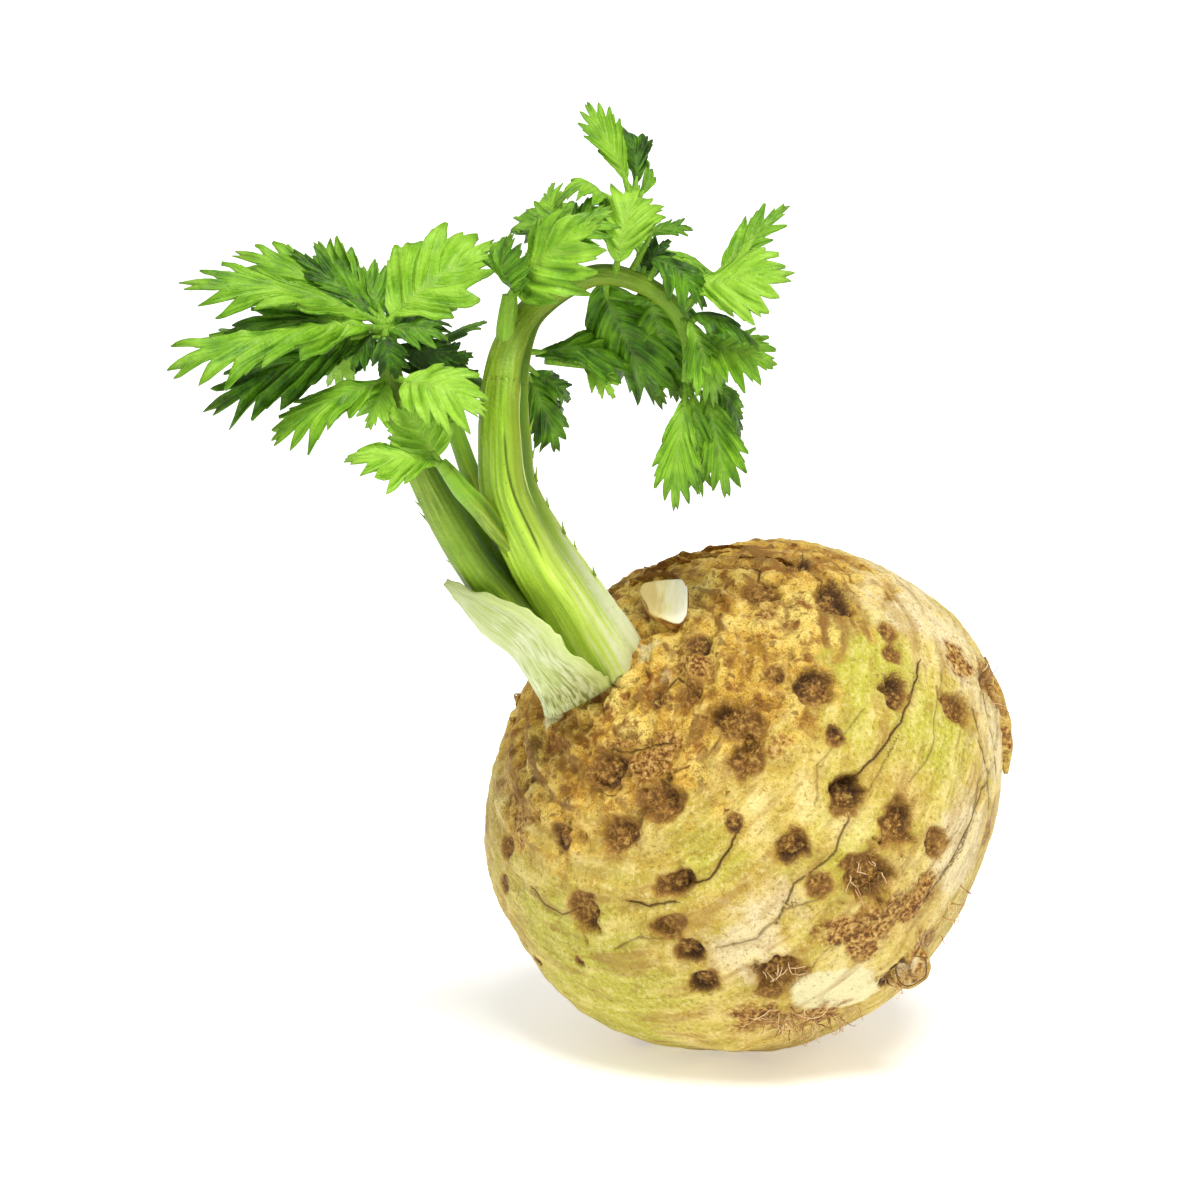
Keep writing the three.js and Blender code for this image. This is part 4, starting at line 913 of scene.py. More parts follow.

# %% [markdown]
# Stalk tissue is juicy and covered by a thin waxy cuticle, so it is glossier than the root. The foot was in the ground
# and stayed white, and the green comes in over the first few centimetres, in long streaks and sooner on one flank than
# on the other. Between the ribs it is darker. The groove gets painted shade, in a wide band on the left stalk, and so
# does the side that faces the other stalks, in olive. The dried split is dark, its rim pale, and the leafy end has the
# green of the leaves. A little light enters the tissue and comes out again, so part of the shader is subsurface
# scattering.

# %% Material: fresh waxy stalk
def fresh_waxy_stalk():
    """Wax makes the juicy tissue shine softly, and strings of fibre break the shine up into long lines."""
    material, tree = blank_material("fresh_waxy_stalk")
    place = add(tree, "TexCoord", out="Object")
    marks = {
        name: add(tree, "Attribute", attribute_name=name, out="Vector" if name == "streak_place" else "Fac")
        for name in ("along", "hollow", "rib", "inside", "crack", "rim", "streak_place")
    }
    noises = {}
    for name, where, scale, detail in [
        ("cloud", place, per_mm(8), 3.0),
        ("fine", place, per_mm(0.8), 3.0),
        ("streak", marks["streak_place"], 1 / 0.9, 3.0),
        ("wide streak", marks["streak_place"], 1 / 2.6, 2.0),
    ]:
        noises[name] = add(tree, "TexNoise", {"Vector": where, "Scale": scale, "Detail": detail})

    # White at the foot: higher up on the inner side, and drawn out into streaks.
    white = add(tree, "Math", [marks["inside"], -0.1, marks["along"]], operation="MULTIPLY_ADD")
    white = add(tree, "Math", [noises["streak"], 0.45, white], operation="MULTIPLY_ADD")
    white = add(tree, "Math", [noises["wide streak"], 0.3, white], operation="MULTIPLY_ADD")
    greens = [
        (0.42, "#e2e8bc"), (0.48, "#dcea8c"), (0.54, "#cae456"), (0.63, "#acd03a"), (0.74, "#84a824"), (0.9, "#6e881a"),
    ]
    body = add(tree, "ValToRGB", [white], greens)
    shares = {}
    for name, source, low, high, top in [
        ("light streak", noises["streak"], 0.52, 0.68, 0.4),
        ("dark streak", noises["wide streak"], 0.5, 0.32, 0.45),
        ("furrow", marks["rib"], 0.5, 0.1, 0.35),
        ("cloud", noises["cloud"], 0.45, 0.7, 0.35),
        ("freckle", noises["fine"], 0.36, 0.28, 0.55),
        ("green part", marks["along"], 0.1, 0.3, 1.0),
        # The next two are painted shade: in the groove, and on the side that faces the other stalks.
        ("hollow", marks["hollow"], 0.2, 0.8, 0.85),
        ("inner side shade", marks["inside"], 0.1, 0.4, 0.8),
        ("leafy end", marks["along"], 0.78, 0.95, 0.6),
        ("crack", marks["crack"], 0.3, 0.9, 0.9),
        ("rim", marks["rim"], 0.2, 0.8, 0.7),
    ]:
        sockets = {"Value": source, "From Min": low, "From Max": high, "To Max": top}
        shares[name] = add(tree, "MapRange", sockets)
    for name in ("dark streak", "furrow", "hollow", "freckle", "inner side shade"):
        shares[name] = add(tree, "Math", [shares[name], shares["green part"]], operation="MULTIPLY")
    for name, over in [
        ("cloud", "#a6c83c"),
        # Painted shade, olive, on the side that faces the other stalks.
        ("inner side shade", "#75821a"),
        ("light streak", "#bcd65c"),
        ("dark streak", "#66901c"),
        ("furrow", "#5c8a16"),
        # Painted shade in the groove.
        ("hollow", "#45660f"),
        ("freckle", "#6a6426"),
        ("leafy end", "#84b832"),
        ("crack", "#4a5a14"),
        ("rim", "#cfe084"),
    ]:
        body = add(tree, "Mix", {0: shares[name], 6: body, 7: over}, out=2, data_type="RGBA")
    height = add(tree, "Math", [noises["streak"], 2.0, noises["fine"]], operation="MULTIPLY_ADD")
    normal = add(tree, "Bump", {"Height": height, "Strength": 0.6, "Distance": 0.4 * MM})
    sockets = {"Base Color": body, "Roughness": 0.4, "IOR": 1.45, "Specular IOR Level": 0.3, "Normal": normal}
    sockets |= {"Subsurface Weight": 0.12, "Subsurface Radius": (0.6, 1.0, 0.2), "Subsurface Scale": 2 * MM}
    shader = add(tree, "BsdfPrincipled", sockets)
    add(tree, "OutputMaterial", {"Surface": shader})
    return material

# %% [markdown]
# The lower part of each stalk is swept now. It runs a little way into the upper part, so that no gap shows.

# %% Lower parts of the stalks
STALK = fresh_waxy_stalk()
OVERLAP = 0.004  # how far a stalk's lower part runs into its upper part, as a share of its length
for name, path, start, rings, sides, green_from in (
    ("arched", ARCHED, 0, 140, 132, 0), ("left", LEFT, 0.04, 140, 120, 0.04),
    ("inner", INNER, 0, 70, 48, 0.3), ("young", YOUNG, 0, 70, 48, 0.3),
):
    body = Parts()
    points, faces, marks = ribbed_limb(path, start, path["split"] + OVERLAP, rings, sides, green_from)
    body.add(points, faces, **marks)
    body.make(f"{name}_petiole", STALK, "stalk", [f"{name}_stalk"])

# %% [markdown]
# A celery leaf is divided into leaflets. Each is a wedge that widens to about two thirds of its length and ends in
# lobes that point forward. Every leaflet here comes from one of three outlines of half a blade: how far out each point
# of the rim is, how far along, and where on the midrib the vein to it starts.

# %% Outlines of the leaflets
FINGERED = [
    (0.04, 0, 0), (0.24, 0.2, 0.05), (0.46, 0.46, 0.11), (0.4, 0.46, 0.14), (0.62, 0.7, 0.2),
    (0.43, 0.65, 0.27), (0.5, 0.88, 0.34), (0.28, 0.78, 0.43), (0.27, 0.97, 0.52), (0.11, 0.87, 0.68),
    (0.004, 1.02, 0.985),
]
BROAD = [
    (0.04, 0, 0), (0.4, 0.14, 0.04), (0.58, 0.36, 0.1), (0.49, 0.36, 0.14), (0.66, 0.59, 0.2),
    (0.46, 0.54, 0.27), (0.56, 0.8, 0.36), (0.35, 0.7, 0.45), (0.34, 0.95, 0.55), (0.13, 0.83, 0.7),
    (0.004, 1.01, 0.985),
]
TOOTHED = [
    (0.05, 0, 0), (0.26, 0.22, 0.07), (0.5, 0.62, 0.2), (0.29, 0.54, 0.3), (0.38, 0.88, 0.42),
    (0.11, 0.72, 0.58), (0.004, 1.01, 0.985),
]

print("points of the outlines:", [len(cut) for cut in (FINGERED, BROAD, TOOTHED)])

# %% [markdown]
# A list says where each leaflet hangs, which way its upper side faces, how wide it is, how much it arches and how
# steeply its halves fold. A list is longer than a rule that scatters leaflets would be, but it lets each one hang where
# it should. On the arched leaf some leaflets stand up along the crest and others hang from its end.

# %% Leaflets of the arched leaf
# Name, tone from dark to light, which is partly painted shade, root, base, tip, face, width, arch, fold and outline.
ARCHED_LEAFLETS = [
    ("crest front", 0.66, (-48.5, -43, 177.5), (-47, -45, 178.5),
     (-29.5, -55, 194.5), (-0.3, -0.75, 0.5), 13.5, 3, -10, BROAD),
    ("crest left", 0.34, (-48.5, -43, 177.5), (-47, -46, 178.5),
     (-48.5, -49, 191), (-0.7, -0.7, 0.2), 10, 3, -14, BROAD),
    ("crest middle", 0.5, (-37.5, -38, 187.5), (-35, -41, 187.5),
     (-27.5, -44, 196.5), (-0.1, -0.7, 0.7), 11, 3, -12, BROAD),
    ("crest spur", 0.7, (-37.5, -38, 187.5), (-38.5, -37, 192),
     (-39.5, -32, 201.5), (-0.5, -0.8, 0.3), 7, 2, 14, TOOTHED),
    ("crest hood", 0.6, (-29, -36, 191), (-27.5, -36, 196),
     (-38.5, -43, 197.5), (0, -0.3, 0.95), 10, 5, -18, TOOTHED),
    ("crest top", 0.65, (-22, -35, 196), (-23.5, -35, 202),
     (-32, -32, 218), (0.2, -0.95, 0.1), 7, 1.5, 12, FINGERED),
    ("crest top back", 0.15, (-22, -35, 196), (-21.5, -33, 201),
     (-24.5, -27, 213), (0.5, -0.8, 0.2), 8, 2, 14, FINGERED),
    ("crest needle", 0.4, (-22, -35, 196), (-20.5, -33, 198.5),
     (-19.5, -28, 205.5), (0.7, -0.7, 0.2), 4, 1.5, 20, TOOTHED),
    ("arch bright", 0.85, (-26, -36, 181.5), (-25.5, -42, 185),
     (-22, -34, 200.5), (0, -0.9, 0.35), 13, 2.5, -8, FINGERED),
    ("arch spike", 0.4, (-23, -35, 181), (-19, -33, 190),
     (-9, -28, 191), (0.2, -0.7, 0.7), 4, 1, 12, TOOTHED),
    ("arch roof", 0.2, (-19.5, -34, 178.5), (-18, -35, 185),
     (-6.5, -38, 175), (0.2, -0.7, 0.7), 10, 3, -14, TOOTHED),
    ("ear", 0.5, (-12, -33, 172.5), (-2.5, -27, 182.5),
     (11.5, -20, 196), (-0.2, -0.8, 0.5), 7.5, -0.5, 14, TOOTHED),
    ("right broad", 0.9, (-12.5, -33, 172.5), (-9, -35, 178.5),
     (10.5, -44, 182), (0.1, -0.75, 0.65), 14, 1.5, -12, FINGERED),
    ("right sliver", 0.25, (-11, -33, 170), (-9, -36, 173),
     (5, -42, 166.5), (0.4, -0.5, 0.75), 7, 2, -14, TOOTHED),
    ("right lower", 0.65, (-9.5, -32, 166), (-7.5, -33, 166),
     (8.5, -38, 162), (0.35, -0.75, 0.55), 12, 2, -12, BROAD),
    ("hang left", 0.6, (-10, -32, 158), (-10.5, -34, 155),
     (-13, -40, 131.5), (-0.25, -0.95, 0.2), 8, 3, -12, FINGERED),
    ("hang centre", 0.4, (-10, -32, 158), (-9, -35, 155.5),
     (-7.5, -34, 134), (0, -0.97, 0.2), 7.5, 3, -12, FINGERED),
    ("hang middle", 0.5, (-10, -32, 158), (-6.5, -33, 156.5),
     (-1.5, -35, 133.5), (0.1, -0.97, 0.15), 9.5, 2.5, -12, FINGERED),
    ("hang right", 0.35, (-9.5, -32, 160.5), (-4.5, -30, 158),
     (1.5, -26, 144.5), (0.6, -0.75, 0.2), 8, 2, -14, FINGERED),
    ("under arch", 0.3, (-28, -36, 181.5), (-29, -30, 179),
     (-15, -21, 151.5), (-0.1, -0.9, -0.3), 13, 3, -10, BROAD),
    ("under right", 0.36, (-15.5, -33, 175.5), (-19, -29, 178),
     (-11.5, -22, 152.5), (0.1, -0.95, -0.2), 15, 3, -12, BROAD),
    ("arch back", 0.1, (-21, -34, 180), (-20, -33, 182.5),
     (-14, -32, 189), (0.2, -0.8, 0.5), 8, 1, -12, TOOTHED),
    ("under left", 0.35, (-47.5, -40, 165.5), (-43, -35, 164),
     (-23, -27, 162), (0, -0.6, 0.8), 12, 3, -14, FINGERED),
    ("under curl", 0.85, (-41, -35, 163), (-32.5, -31, 161.5),
     (-26, -33, 154.5), (0.1, -0.8, 0.5), 6, 2, -14, TOOTHED),
    ("back hang", 0.3, (-47.5, -40, 164.5), (-45, -34, 160),
     (-38.5, -29, 142.5), (0.25, -0.9, 0.3), 9, 2, -12, FINGERED),
    ("back spur", 0.3, (-47.5, -40, 164.5), (-44, -33, 160),
     (-35.5, -27, 153), (0, -0.8, 0.5), 7, 2, -12, TOOTHED),
    ("rear crest", 0.5, (-37.5, -38, 187.5), (-38.5, -33, 187.5),
     (-41, -6, 192.5), (-0.2, 0.4, 0.9), 13, 4, -14, FINGERED),
    ("rear arch", 0.5, (-19, -34, 180), (-18, -29, 180.5),
     (-10.5, -4, 181.5), (0.1, 0.5, 0.85), 16, 4, -14, FINGERED),
    ("right veil", 0.5, (-12, -33, 172), (-10, -36, 171.5),
     (-4, -37, 154), (0.3, -0.93, 0.2), 8.5, 2, -14, FINGERED),
]

# %% [markdown]
# The second leaf spreads in a fan, and its lower leaflets are shaded by the upper ones; their low tones add painted
# shade. The thin stalk behind carries three small leaflets, and the young one in front two.

# %% Leaflets of the other leaves
LEFT_LEAFLETS = [
    ("fan upper", 0.6, (-75, -42, 171), (-78, -43, 173),
     (-115.5, -52, 181.5), (-0.1, -0.6, 0.8), 12, 3, -10, FINGERED),
    ("fan lower", 0.6, (-75, -42, 170.5), (-79, -45, 171.5),
     (-117.5, -62, 164), (-0.1, -0.6, 0.75), 19, 4, -12, FINGERED),
    ("fan shaded", 0.22, (-75, -42, 169.5), (-79.5, -41, 169.5),
     (-111.5, -50, 154.5), (-0.3, -0.75, 0.35), 14, 3, -8, FINGERED),
    ("fan top", 0.5, (-75, -42, 171), (-77, -40, 173.5),
     (-90.5, -30, 188), (-0.4, -0.8, 0.3), 9, 2, 12, FINGERED),
    ("fan ridge", 0.2, (-75, -42, 171), (-77, -42, 173.5),
     (-95.5, -37, 187), (-0.3, -0.8, 0.5), 8, 2, 12, TOOTHED),
    ("fan crest", 0.4, (-75, -42, 171), (-76.5, -39, 174),
     (-82.5, -26, 182), (0.2, -0.8, 0.5), 9, 2, 14, TOOTHED),
    ("fan behind", 0.6, (-75, -42, 171), (-77.5, -41, 173.5),
     (-106.5, -37, 186.5), (-0.2, -0.6, 0.8), 10, 2, -10, FINGERED),
    ("fan curl", 0.9, (-74.5, -42, 165.5), (-80, -41, 167),
     (-89, -34, 157.5), (-0.2, -0.8, 0.3), 8, 2, -16, TOOTHED),
    ("low left", 0.6, (-74, -42, 160.5), (-75.5, -45, 159.5),
     (-98, -55, 149), (-0.2, -0.75, 0.6), 12, 2.5, -12, FINGERED),
    ("low middle", 0.8, (-74, -42, 160), (-75, -44, 159),
     (-79, -46, 149.5), (0, -0.95, 0.2), 9, 1.5, -10, TOOTHED),
    ("low right", 0.85, (-74, -42, 160.5), (-71, -53, 160),
     (-53.5, -62, 155.5), (0.1, -0.75, 0.6), 12, 3, -12, BROAD),
    ("hub top", 0.35, (-75, -42, 169), (-74, -40, 168.5),
     (-61.5, -32, 170.5), (0, -0.6, 0.8), 9, 2, -12, TOOTHED),
    ("rising", 0.75, (-75, -42, 171.5), (-74, -41, 173),
     (-50.5, -30, 187.5), (-0.35, -0.65, 0.65), 15.5, 2, 12, BROAD),
    ("hub curl", 0.15, (-75, -42, 168.5), (-77.5, -43, 169.5),
     (-82.5, -46, 162), (-0.2, -0.8, 0.4), 6, 1.5, -16, TOOTHED),
    ("hub front", 0.1, (-75, -43, 170), (-75.5, -47, 169.5),
     (-72.5, -49, 160.5), (0, -0.95, 0.3), 8, 2, -14, TOOTHED),
    ("hub right", 0.35, (-75, -42, 170), (-74.5, -44, 170.5),
     (-61.5, -46, 169), (0, -0.7, 0.7), 7, 2, -12, TOOTHED),
    ("hub low", 0.08, (-74.5, -42, 166), (-74, -40, 166),
     (-57.5, -36, 162.5), (0.1, -0.85, 0.4), 7, 2, -12, TOOTHED),
    ("hub dark", 0.05, (-74.5, -42, 164.5), (-73, -37, 162),
     (-54.5, -32, 157), (0.1, -0.85, 0.4), 7, 2, -12, TOOTHED),
    ("hub back", 0.1, (-75, -41, 167), (-76.5, -38, 166.5),
     (-88, -34, 162.5), (-0.2, -0.8, 0.3), 9, 2, -12, TOOTHED),
    ("fan middle", 0.35, (-75, -42, 170), (-78.5, -44, 170.5),
     (-107, -52, 171.5), (-0.1, -0.65, 0.7), 10, 3, -10, FINGERED),
    ("rear right", 0.5, (-75, -42, 169), (-74, -36, 168.5),
     (-67, -8, 173.5), (0.2, 0.3, 0.95), 14, 4, -12, FINGERED),
]
INNER_LEAFLETS = [
    ("inner right", 0.1, (-67.5, -30, 160.5), (-69.5, -31, 162),
     (-57, -25, 163), (0.1, -0.85, 0.3), 8, 1.5, -14, TOOTHED),
    ("inner needle", 0.3, (-68.5, -30, 162), (-67.5, -27, 163.5),
     (-54.5, -14, 169.5), (0, -0.5, 0.8), 4, 1, -12, TOOTHED),
    ("inner low", 0.1, (-66, -30, 157), (-63.5, -28, 158),
     (-54, -20, 156), (0, -0.7, 0.6), 7, 1.5, -12, TOOTHED),
]
YOUNG_LEAFLETS = [
    ("young left", 0.9, (-63, -55, 143), (-64.5, -56, 143.5),
     (-81, -66, 146), (-0.1, -0.6, 0.8), 11, 1, -12, FINGERED),
    ("young up", 0.9, (-63, -55, 143), (-64, -55, 144.5),
     (-71, -53, 158), (-0.3, -0.85, 0.3), 12, 2, -8, BROAD),
]

print("leaflets:", sum(map(len, (ARCHED_LEAFLETS, LEFT_LEAFLETS, INNER_LEAFLETS, YOUNG_LEAFLETS))))

# %% [markdown]
# A leaflet's edge has small teeth besides its lobes. They are added to each part of the outline that runs forward, not
# to those that run back into a notch. Thin plates of every kind are a front and a back grid of points, joined round
# the edge into one closed body, because an open sheet has no rim to catch light.

# %% Helpers: thin plates and toothed rims
RIM_STEPS = 9  # rim points for each part of the outline
TOOTH, TOOTH_STEP = 0.06, 0.13  # length and spacing of the small teeth, as shares of the leaflet's size
LOBE_BULGE = 0.03  # how far the edge of a lobe bows out between its ends


def shell(front, back):
    """A closed thin body between two grids of points, each rows by columns by xyz."""
    rows, columns = front.shape[:2]
    layer = rows * columns
    faces = []
    for i in range(rows - 1):
        for j in range(columns - 1):
            a = i * columns + j
            faces.append((a, a + 1, a + 1 + columns, a + columns))
            faces.append((layer + a, layer + a + columns, layer + a + 1 + columns, layer + a + 1))
    edge = [*range(columns - 1)] + [i * columns + columns - 1 for i in range(rows - 1)]
    edge += [(rows - 1) * columns + j for j in range(columns - 1, 0, -1)]
    edge += [i * columns for i in range(rows - 1, 0, -1)]
    faces += [(a, layer + a, layer + b, b) for a, b in zip(edge, edge[1:] + edge[:1])]
    return np.concatenate([front.reshape(-1, 3), back.reshape(-1, 3)]), faces


def toothed_rim(cut, seed):
    """The half outline with small teeth: half-width, place along, place on the midrib, and the row's number."""
    rows = []
    for k, (start, end) in enumerate(zip(cut, cut[1:])):
        start, end = np.array(start), np.array(end)
        outward = np.array((end[1] - start[1], start[0] - end[0]))
        span = np.linalg.norm(outward)
        outward /= span + 1e-9
        outer = end[1] > start[1] + 0.08  # the edge that runs forward to the next point, not back into a notch
        teeth = round(span / TOOTH_STEP) if k else 0
        for n in range(RIM_STEPS):
            f = n / RIM_STEPS
            tooth = (f * teeth % 1) * TOOTH * (0.5 + draw(seed + k, 3)) * outer if n else 0
            row = start + (end - start) * f
            row[:2] += outward * (tooth + LOBE_BULGE * outer * math.sin(math.pi * f)) + np.array((0, 0.8 * tooth))
            rows.append((*row, k + f))
    rows.append((*cut[-1], len(cut) - 1))
    return np.array(rows)


print("a rim has", len(toothed_rim(FINGERED, 1)), "points a side")

# %% [markdown]
# The blade's rows run out along the veins and its columns go from one rim over the midrib to the other rim. Veins are
# sunk into the upper side and stand out below, and the tissue between them puckers up, which gives a celery leaf its
# crinkled shine. One half turns up more than the other, so one catches the light while the other is in shade, and each
# lobe bends up or down by itself. A real blade is 0.3 mm thick, and this one a little more, so that its rim shows.

# %% Helper: a blade
BLADE = 0.45  # thickness
WAVE = 0.25  # how far each half sways along its length, as a share of the distance to the midrib
VEIN_STEPS = 8  # points along each vein
PLEAT, CRINKLE = 1.2, 1.25  # how far the tissue rises between veins and in broad folds, in mm
LOBE_SWING = 1.8  # how far a lobe bends up or down at its tip, in mm
TIP_DROOP = 1.2  # how far a leaflet's tip hangs at most, in mm
VEIN_DEPTH = 0.3  # how far a vein stands out below, in mm
USUAL_WIDTH = 12  # mm, of a leaflet whose pleats and lobes rise as given
FLAT_RIB = 2.5  # mm to each side of the midrib where the tissue is held flat
REACH = 0.965  # the teeth stand out past the outline, so that is drawn this much shorter


def blade(leaf, i):
    """Points, faces and marks of one leaflet's blade, and the place where its little stalk meets it."""
    _, tone, _, base, tip, face, width, arch, fold, cut = leaf
    base, face = np.array(base, float), np.array(face, float)
    run = np.array(tip) - base
    ahead = run / np.linalg.norm(run)
    face -= ahead * (face @ ahead)
    face /= np.linalg.norm(face)
    side = np.cross(ahead, face)
    halves = []
    for turn in (1, -1):
        rim = toothed_rim(cut, 17 * i + 5 * turn) * (1, REACH, REACH, 1)
        out = np.linspace(0, 1, VEIN_STEPS + 1) ** 0.9
        stretch = turn * width * (0.94 + 0.16 * draw(i, 8 + turn))
        across = np.outer(rim[:, 0] * stretch, out)
        bend = np.outer(rim[:, 1] - rim[:, 2], out**1.25)  # veins leave the midrib outwards, then turn forward
        along = rim[:, 2:3] + bend
        vein_at = np.broadcast_to(rim[:, 3:4], across.shape)
        halves.append((across, along, vein_at, np.broadcast_to(out, across.shape)))
    # One half's columns are turned round, and its midrib is left out, so that both halves share one.
    across, along, vein_at, out = (
        np.concatenate([one[:, :0:-1], other], axis=1) for one, other in zip(*halves)
    )
    tips = [k for k in range(1, len(cut) - 1) if cut[k][1] > cut[k - 1][1] and cut[k][0] > cut[k + 1][0]]
    gaps = np.abs(vein_at[..., None] - tips)
    between = np.minimum(gaps.min(-1), 1)  # 0 on a vein and 1 in the notch between two
    lobe = gaps.argmin(-1) + 10 * (across > 0)
    away = between * (0.5 + np.abs(across) * 0.5)
    vein = np.exp(-((away / 0.3) ** 2)) * (out > 0.02) * (1 - 0.6 * out)
    vein = np.maximum(vein, np.exp(-((np.abs(across) / 0.5) ** 2)) * (1 - 0.4 * along))
    lift = math.tan(math.radians(fold)) + np.sign(across) * 0.4 * (draw(i, 13) - 0.5)
    size = width / USUAL_WIDTH
    free = np.minimum(1, np.abs(across) / FLAT_RIB)
    rise = arch * 4 * along * (1 - along) + np.abs(across) * lift
    rise += WAVE * across * np.sin(6 * along + 6 * draw(i, 7))
    rise += PLEAT * size * (between - 0.5) * free
    swing = np.vectorize(lambda k: draw(i, 70 + k) - 0.5)(lobe) * np.exp(-((between / 0.7) ** 2))
    rise += 2 * LOBE_SWING * size * swing * out**1.5
    flat = base + along[..., None] * run + across[..., None] * side
    crinkle = wobble(flat.reshape(-1, 3), 6, i) + 0.4 * wobble(flat.reshape(-1, 3), 2.5, i + 0.5)
    rise += CRINKLE * crinkle.reshape(across.shape) * free
    droop = TIP_DROOP * draw(i, 14) * along**3
    front = flat + (rise - droop + BLADE / 2)[..., None] * face
    back = flat + (rise - droop - BLADE / 2 - VEIN_DEPTH * vein)[..., None] * face
    points, faces = shell(front, back)
    twice = lambda values: np.concatenate([values.ravel(), values.ravel()])
    vein_place = np.stack([twice(vein_at * 4), twice(out * 1.4), twice(3 * i + 0.5 * np.sign(across))], axis=1)
    marks = dict(
        vein=twice(vein) * (0.35 + 0.65 * min(1, 2 * tone)),  # fainter in a dark leaflet
        under=np.repeat((0.0, 1.0), across.size),
        tone=tone,
        out=twice(out),
        along=twice(along),
        # From puckered ridge to hollow, which the material paints lighter and darker: painted highlight and shade.
        ridge=twice(between * free + crinkle.reshape(across.shape)),
        vein_place=vein_place,
    )
    joint = base + 0.1 * run + (arch * 0.36) * face
    return points, faces, marks, joint


print("a blade is", 2 * VEIN_STEPS + 1, "points wide and", BLADE, "mm thick")

# %% [markdown]
# A leaflet's little stalk, a root's end, a fine root and a loose string are all thin tubes. Each is a row of round
# rings, and every ring is turned as little as possible from the one before, so that the tube doesn't twist.

# %% Helper: a thin tube
def thin_tube(line, radii, sides=8, twist=0.0):
    """Rings of a round tube along a line of points."""
    line = np.asarray(line, float)
    ahead = np.gradient(line, axis=0)
    ahead /= np.linalg.norm(ahead, axis=1, keepdims=True)
    guide = np.array((0.3, 0.5, 0.81)) if abs(ahead[0, 2]) < 0.9 else np.array((1.0, 0.2, 0.1))
    rings = []
    for point, forward, r in zip(line, ahead, np.broadcast_to(radii, len(line))):
        u = np.cross(guide, forward)
        u /= np.linalg.norm(u)
        v = np.cross(forward, u)
        guide = np.cross(forward, np.cross(guide, forward))
        angles = np.linspace(0, 2 * math.pi, sides, endpoint=False) + twist
        rings.append(point + r * (np.outer(np.cos(angles), u) + np.outer(np.sin(angles), v)))
    return np.array(rings)

# %% [markdown]
# A young leaf is thin enough to glow when light falls through it, so part of the shader is translucent. Its upper side
# has a waxy cuticle and shines, and the underside is paler and dull. Veins carry less chlorophyll and look lighter.
# Each leaflet has its own tone, partly as leaves on one plant differ in age and partly painted shade where a leaflet
# lies under others. The tone varies within it in soft clouds and in streaks along the veins, and puckered ridges get a
# painted highlight and the hollows between them painted shade. The rim and the tip have dried a little and are browner.

# %% Material: glossy leaf blade
TRANSLUCENT_SHARE = 0.25


def glossy_leaf_blade():
    """A waxed upper side that glints on its ridges, a dull underside, and a glow where light falls through."""
    material, tree = blank_material("glossy_leaf_blade")
    place = add(tree, "TexCoord", out="Object")
    marks = {
        name: add(tree, "Attribute", attribute_name=name, out="Vector" if name == "vein_place" else "Fac")
        for name in ("tone", "vein", "under", "along", "out", "ridge", "vein_place")
    }
    noises = {}
    for name, where, scale in [
        ("cloud", place, per_mm(5)), ("blister", place, per_mm(1.8)), ("fine", place, per_mm(0.8)),
        ("streak", marks["vein_place"], 1.0),
    ]:
        noises[name] = add(tree, "TexNoise", {"Vector": where, "Scale": scale, "Detail": 3.0})
    # The tone is partly painted shade, and the ridge mark adds a painted highlight on ridges and shade in hollows.
    light = marks["tone"]
    for source, amount in [(noises["cloud"], 0.9), (noises["streak"], 1.0), (marks["ridge"], 0.17)]:
        light = add(tree, "Math", [source, amount, light], operation="MULTIPLY_ADD")
    light = add(tree, "Math", [light, 0.98], operation="SUBTRACT")
    greens = [(0.0, "#2a4a0a"), (0.22, "#477811"), (0.45, "#6ba31c"), (0.7, "#8ec42c"), (1.0, "#addd48")]
    green = add(tree, "ValToRGB", [light], greens)
    for name, low, high, top, over in [
        ("out", 0.8, 1.0, 0.3, "#5a8c1c"),
        ("along", 0.85, 1.0, 0.3, "#6a7c26"),
        ("vein", 0.3, 1.0, 0.32, "#bbd668"),
        ("under", 0.0, 1.0, 0.25, "#7c9c52"),
    ]:
        sockets = {"Value": marks[name], "From Min": low, "From Max": high, "To Max": top}
        share = add(tree, "MapRange", sockets)
        green = add(tree, "Mix", {0: share, 6: green, 7: over}, out=2, data_type="RGBA")
    height = noises["fine"]
    for name, amount in [("streak", 1.6), ("blister", 1.4)]:
        height = add(tree, "Math", [noises[name], amount, height], operation="MULTIPLY_ADD")
    normal = add(tree, "Bump", {"Height": height, "Strength": 0.6, "Distance": 0.5 * MM})
    gloss = add(tree, "Math", [marks["under"], 0.25, 0.33], operation="MULTIPLY_ADD")
    sockets = {"Base Color": green, "Roughness": gloss, "IOR": 1.42, "Specular IOR Level": 0.4, "Normal": normal}
    surface = add(tree, "BsdfPrincipled", sockets)
    through = add(tree, "BsdfTranslucent", {"Color": green})
    both = add(tree, "MixShader", [TRANSLUCENT_SHARE, surface, through])
    add(tree, "OutputMaterial", {"Surface": both})
    return material

# %% [markdown]
# Each leaf is put together from the upper part of its stalk, its twigs, and its leaflets with their little stalks. The
# stalk part takes the stalk's material and the rest the leaf's, so a leaf is two pieces.

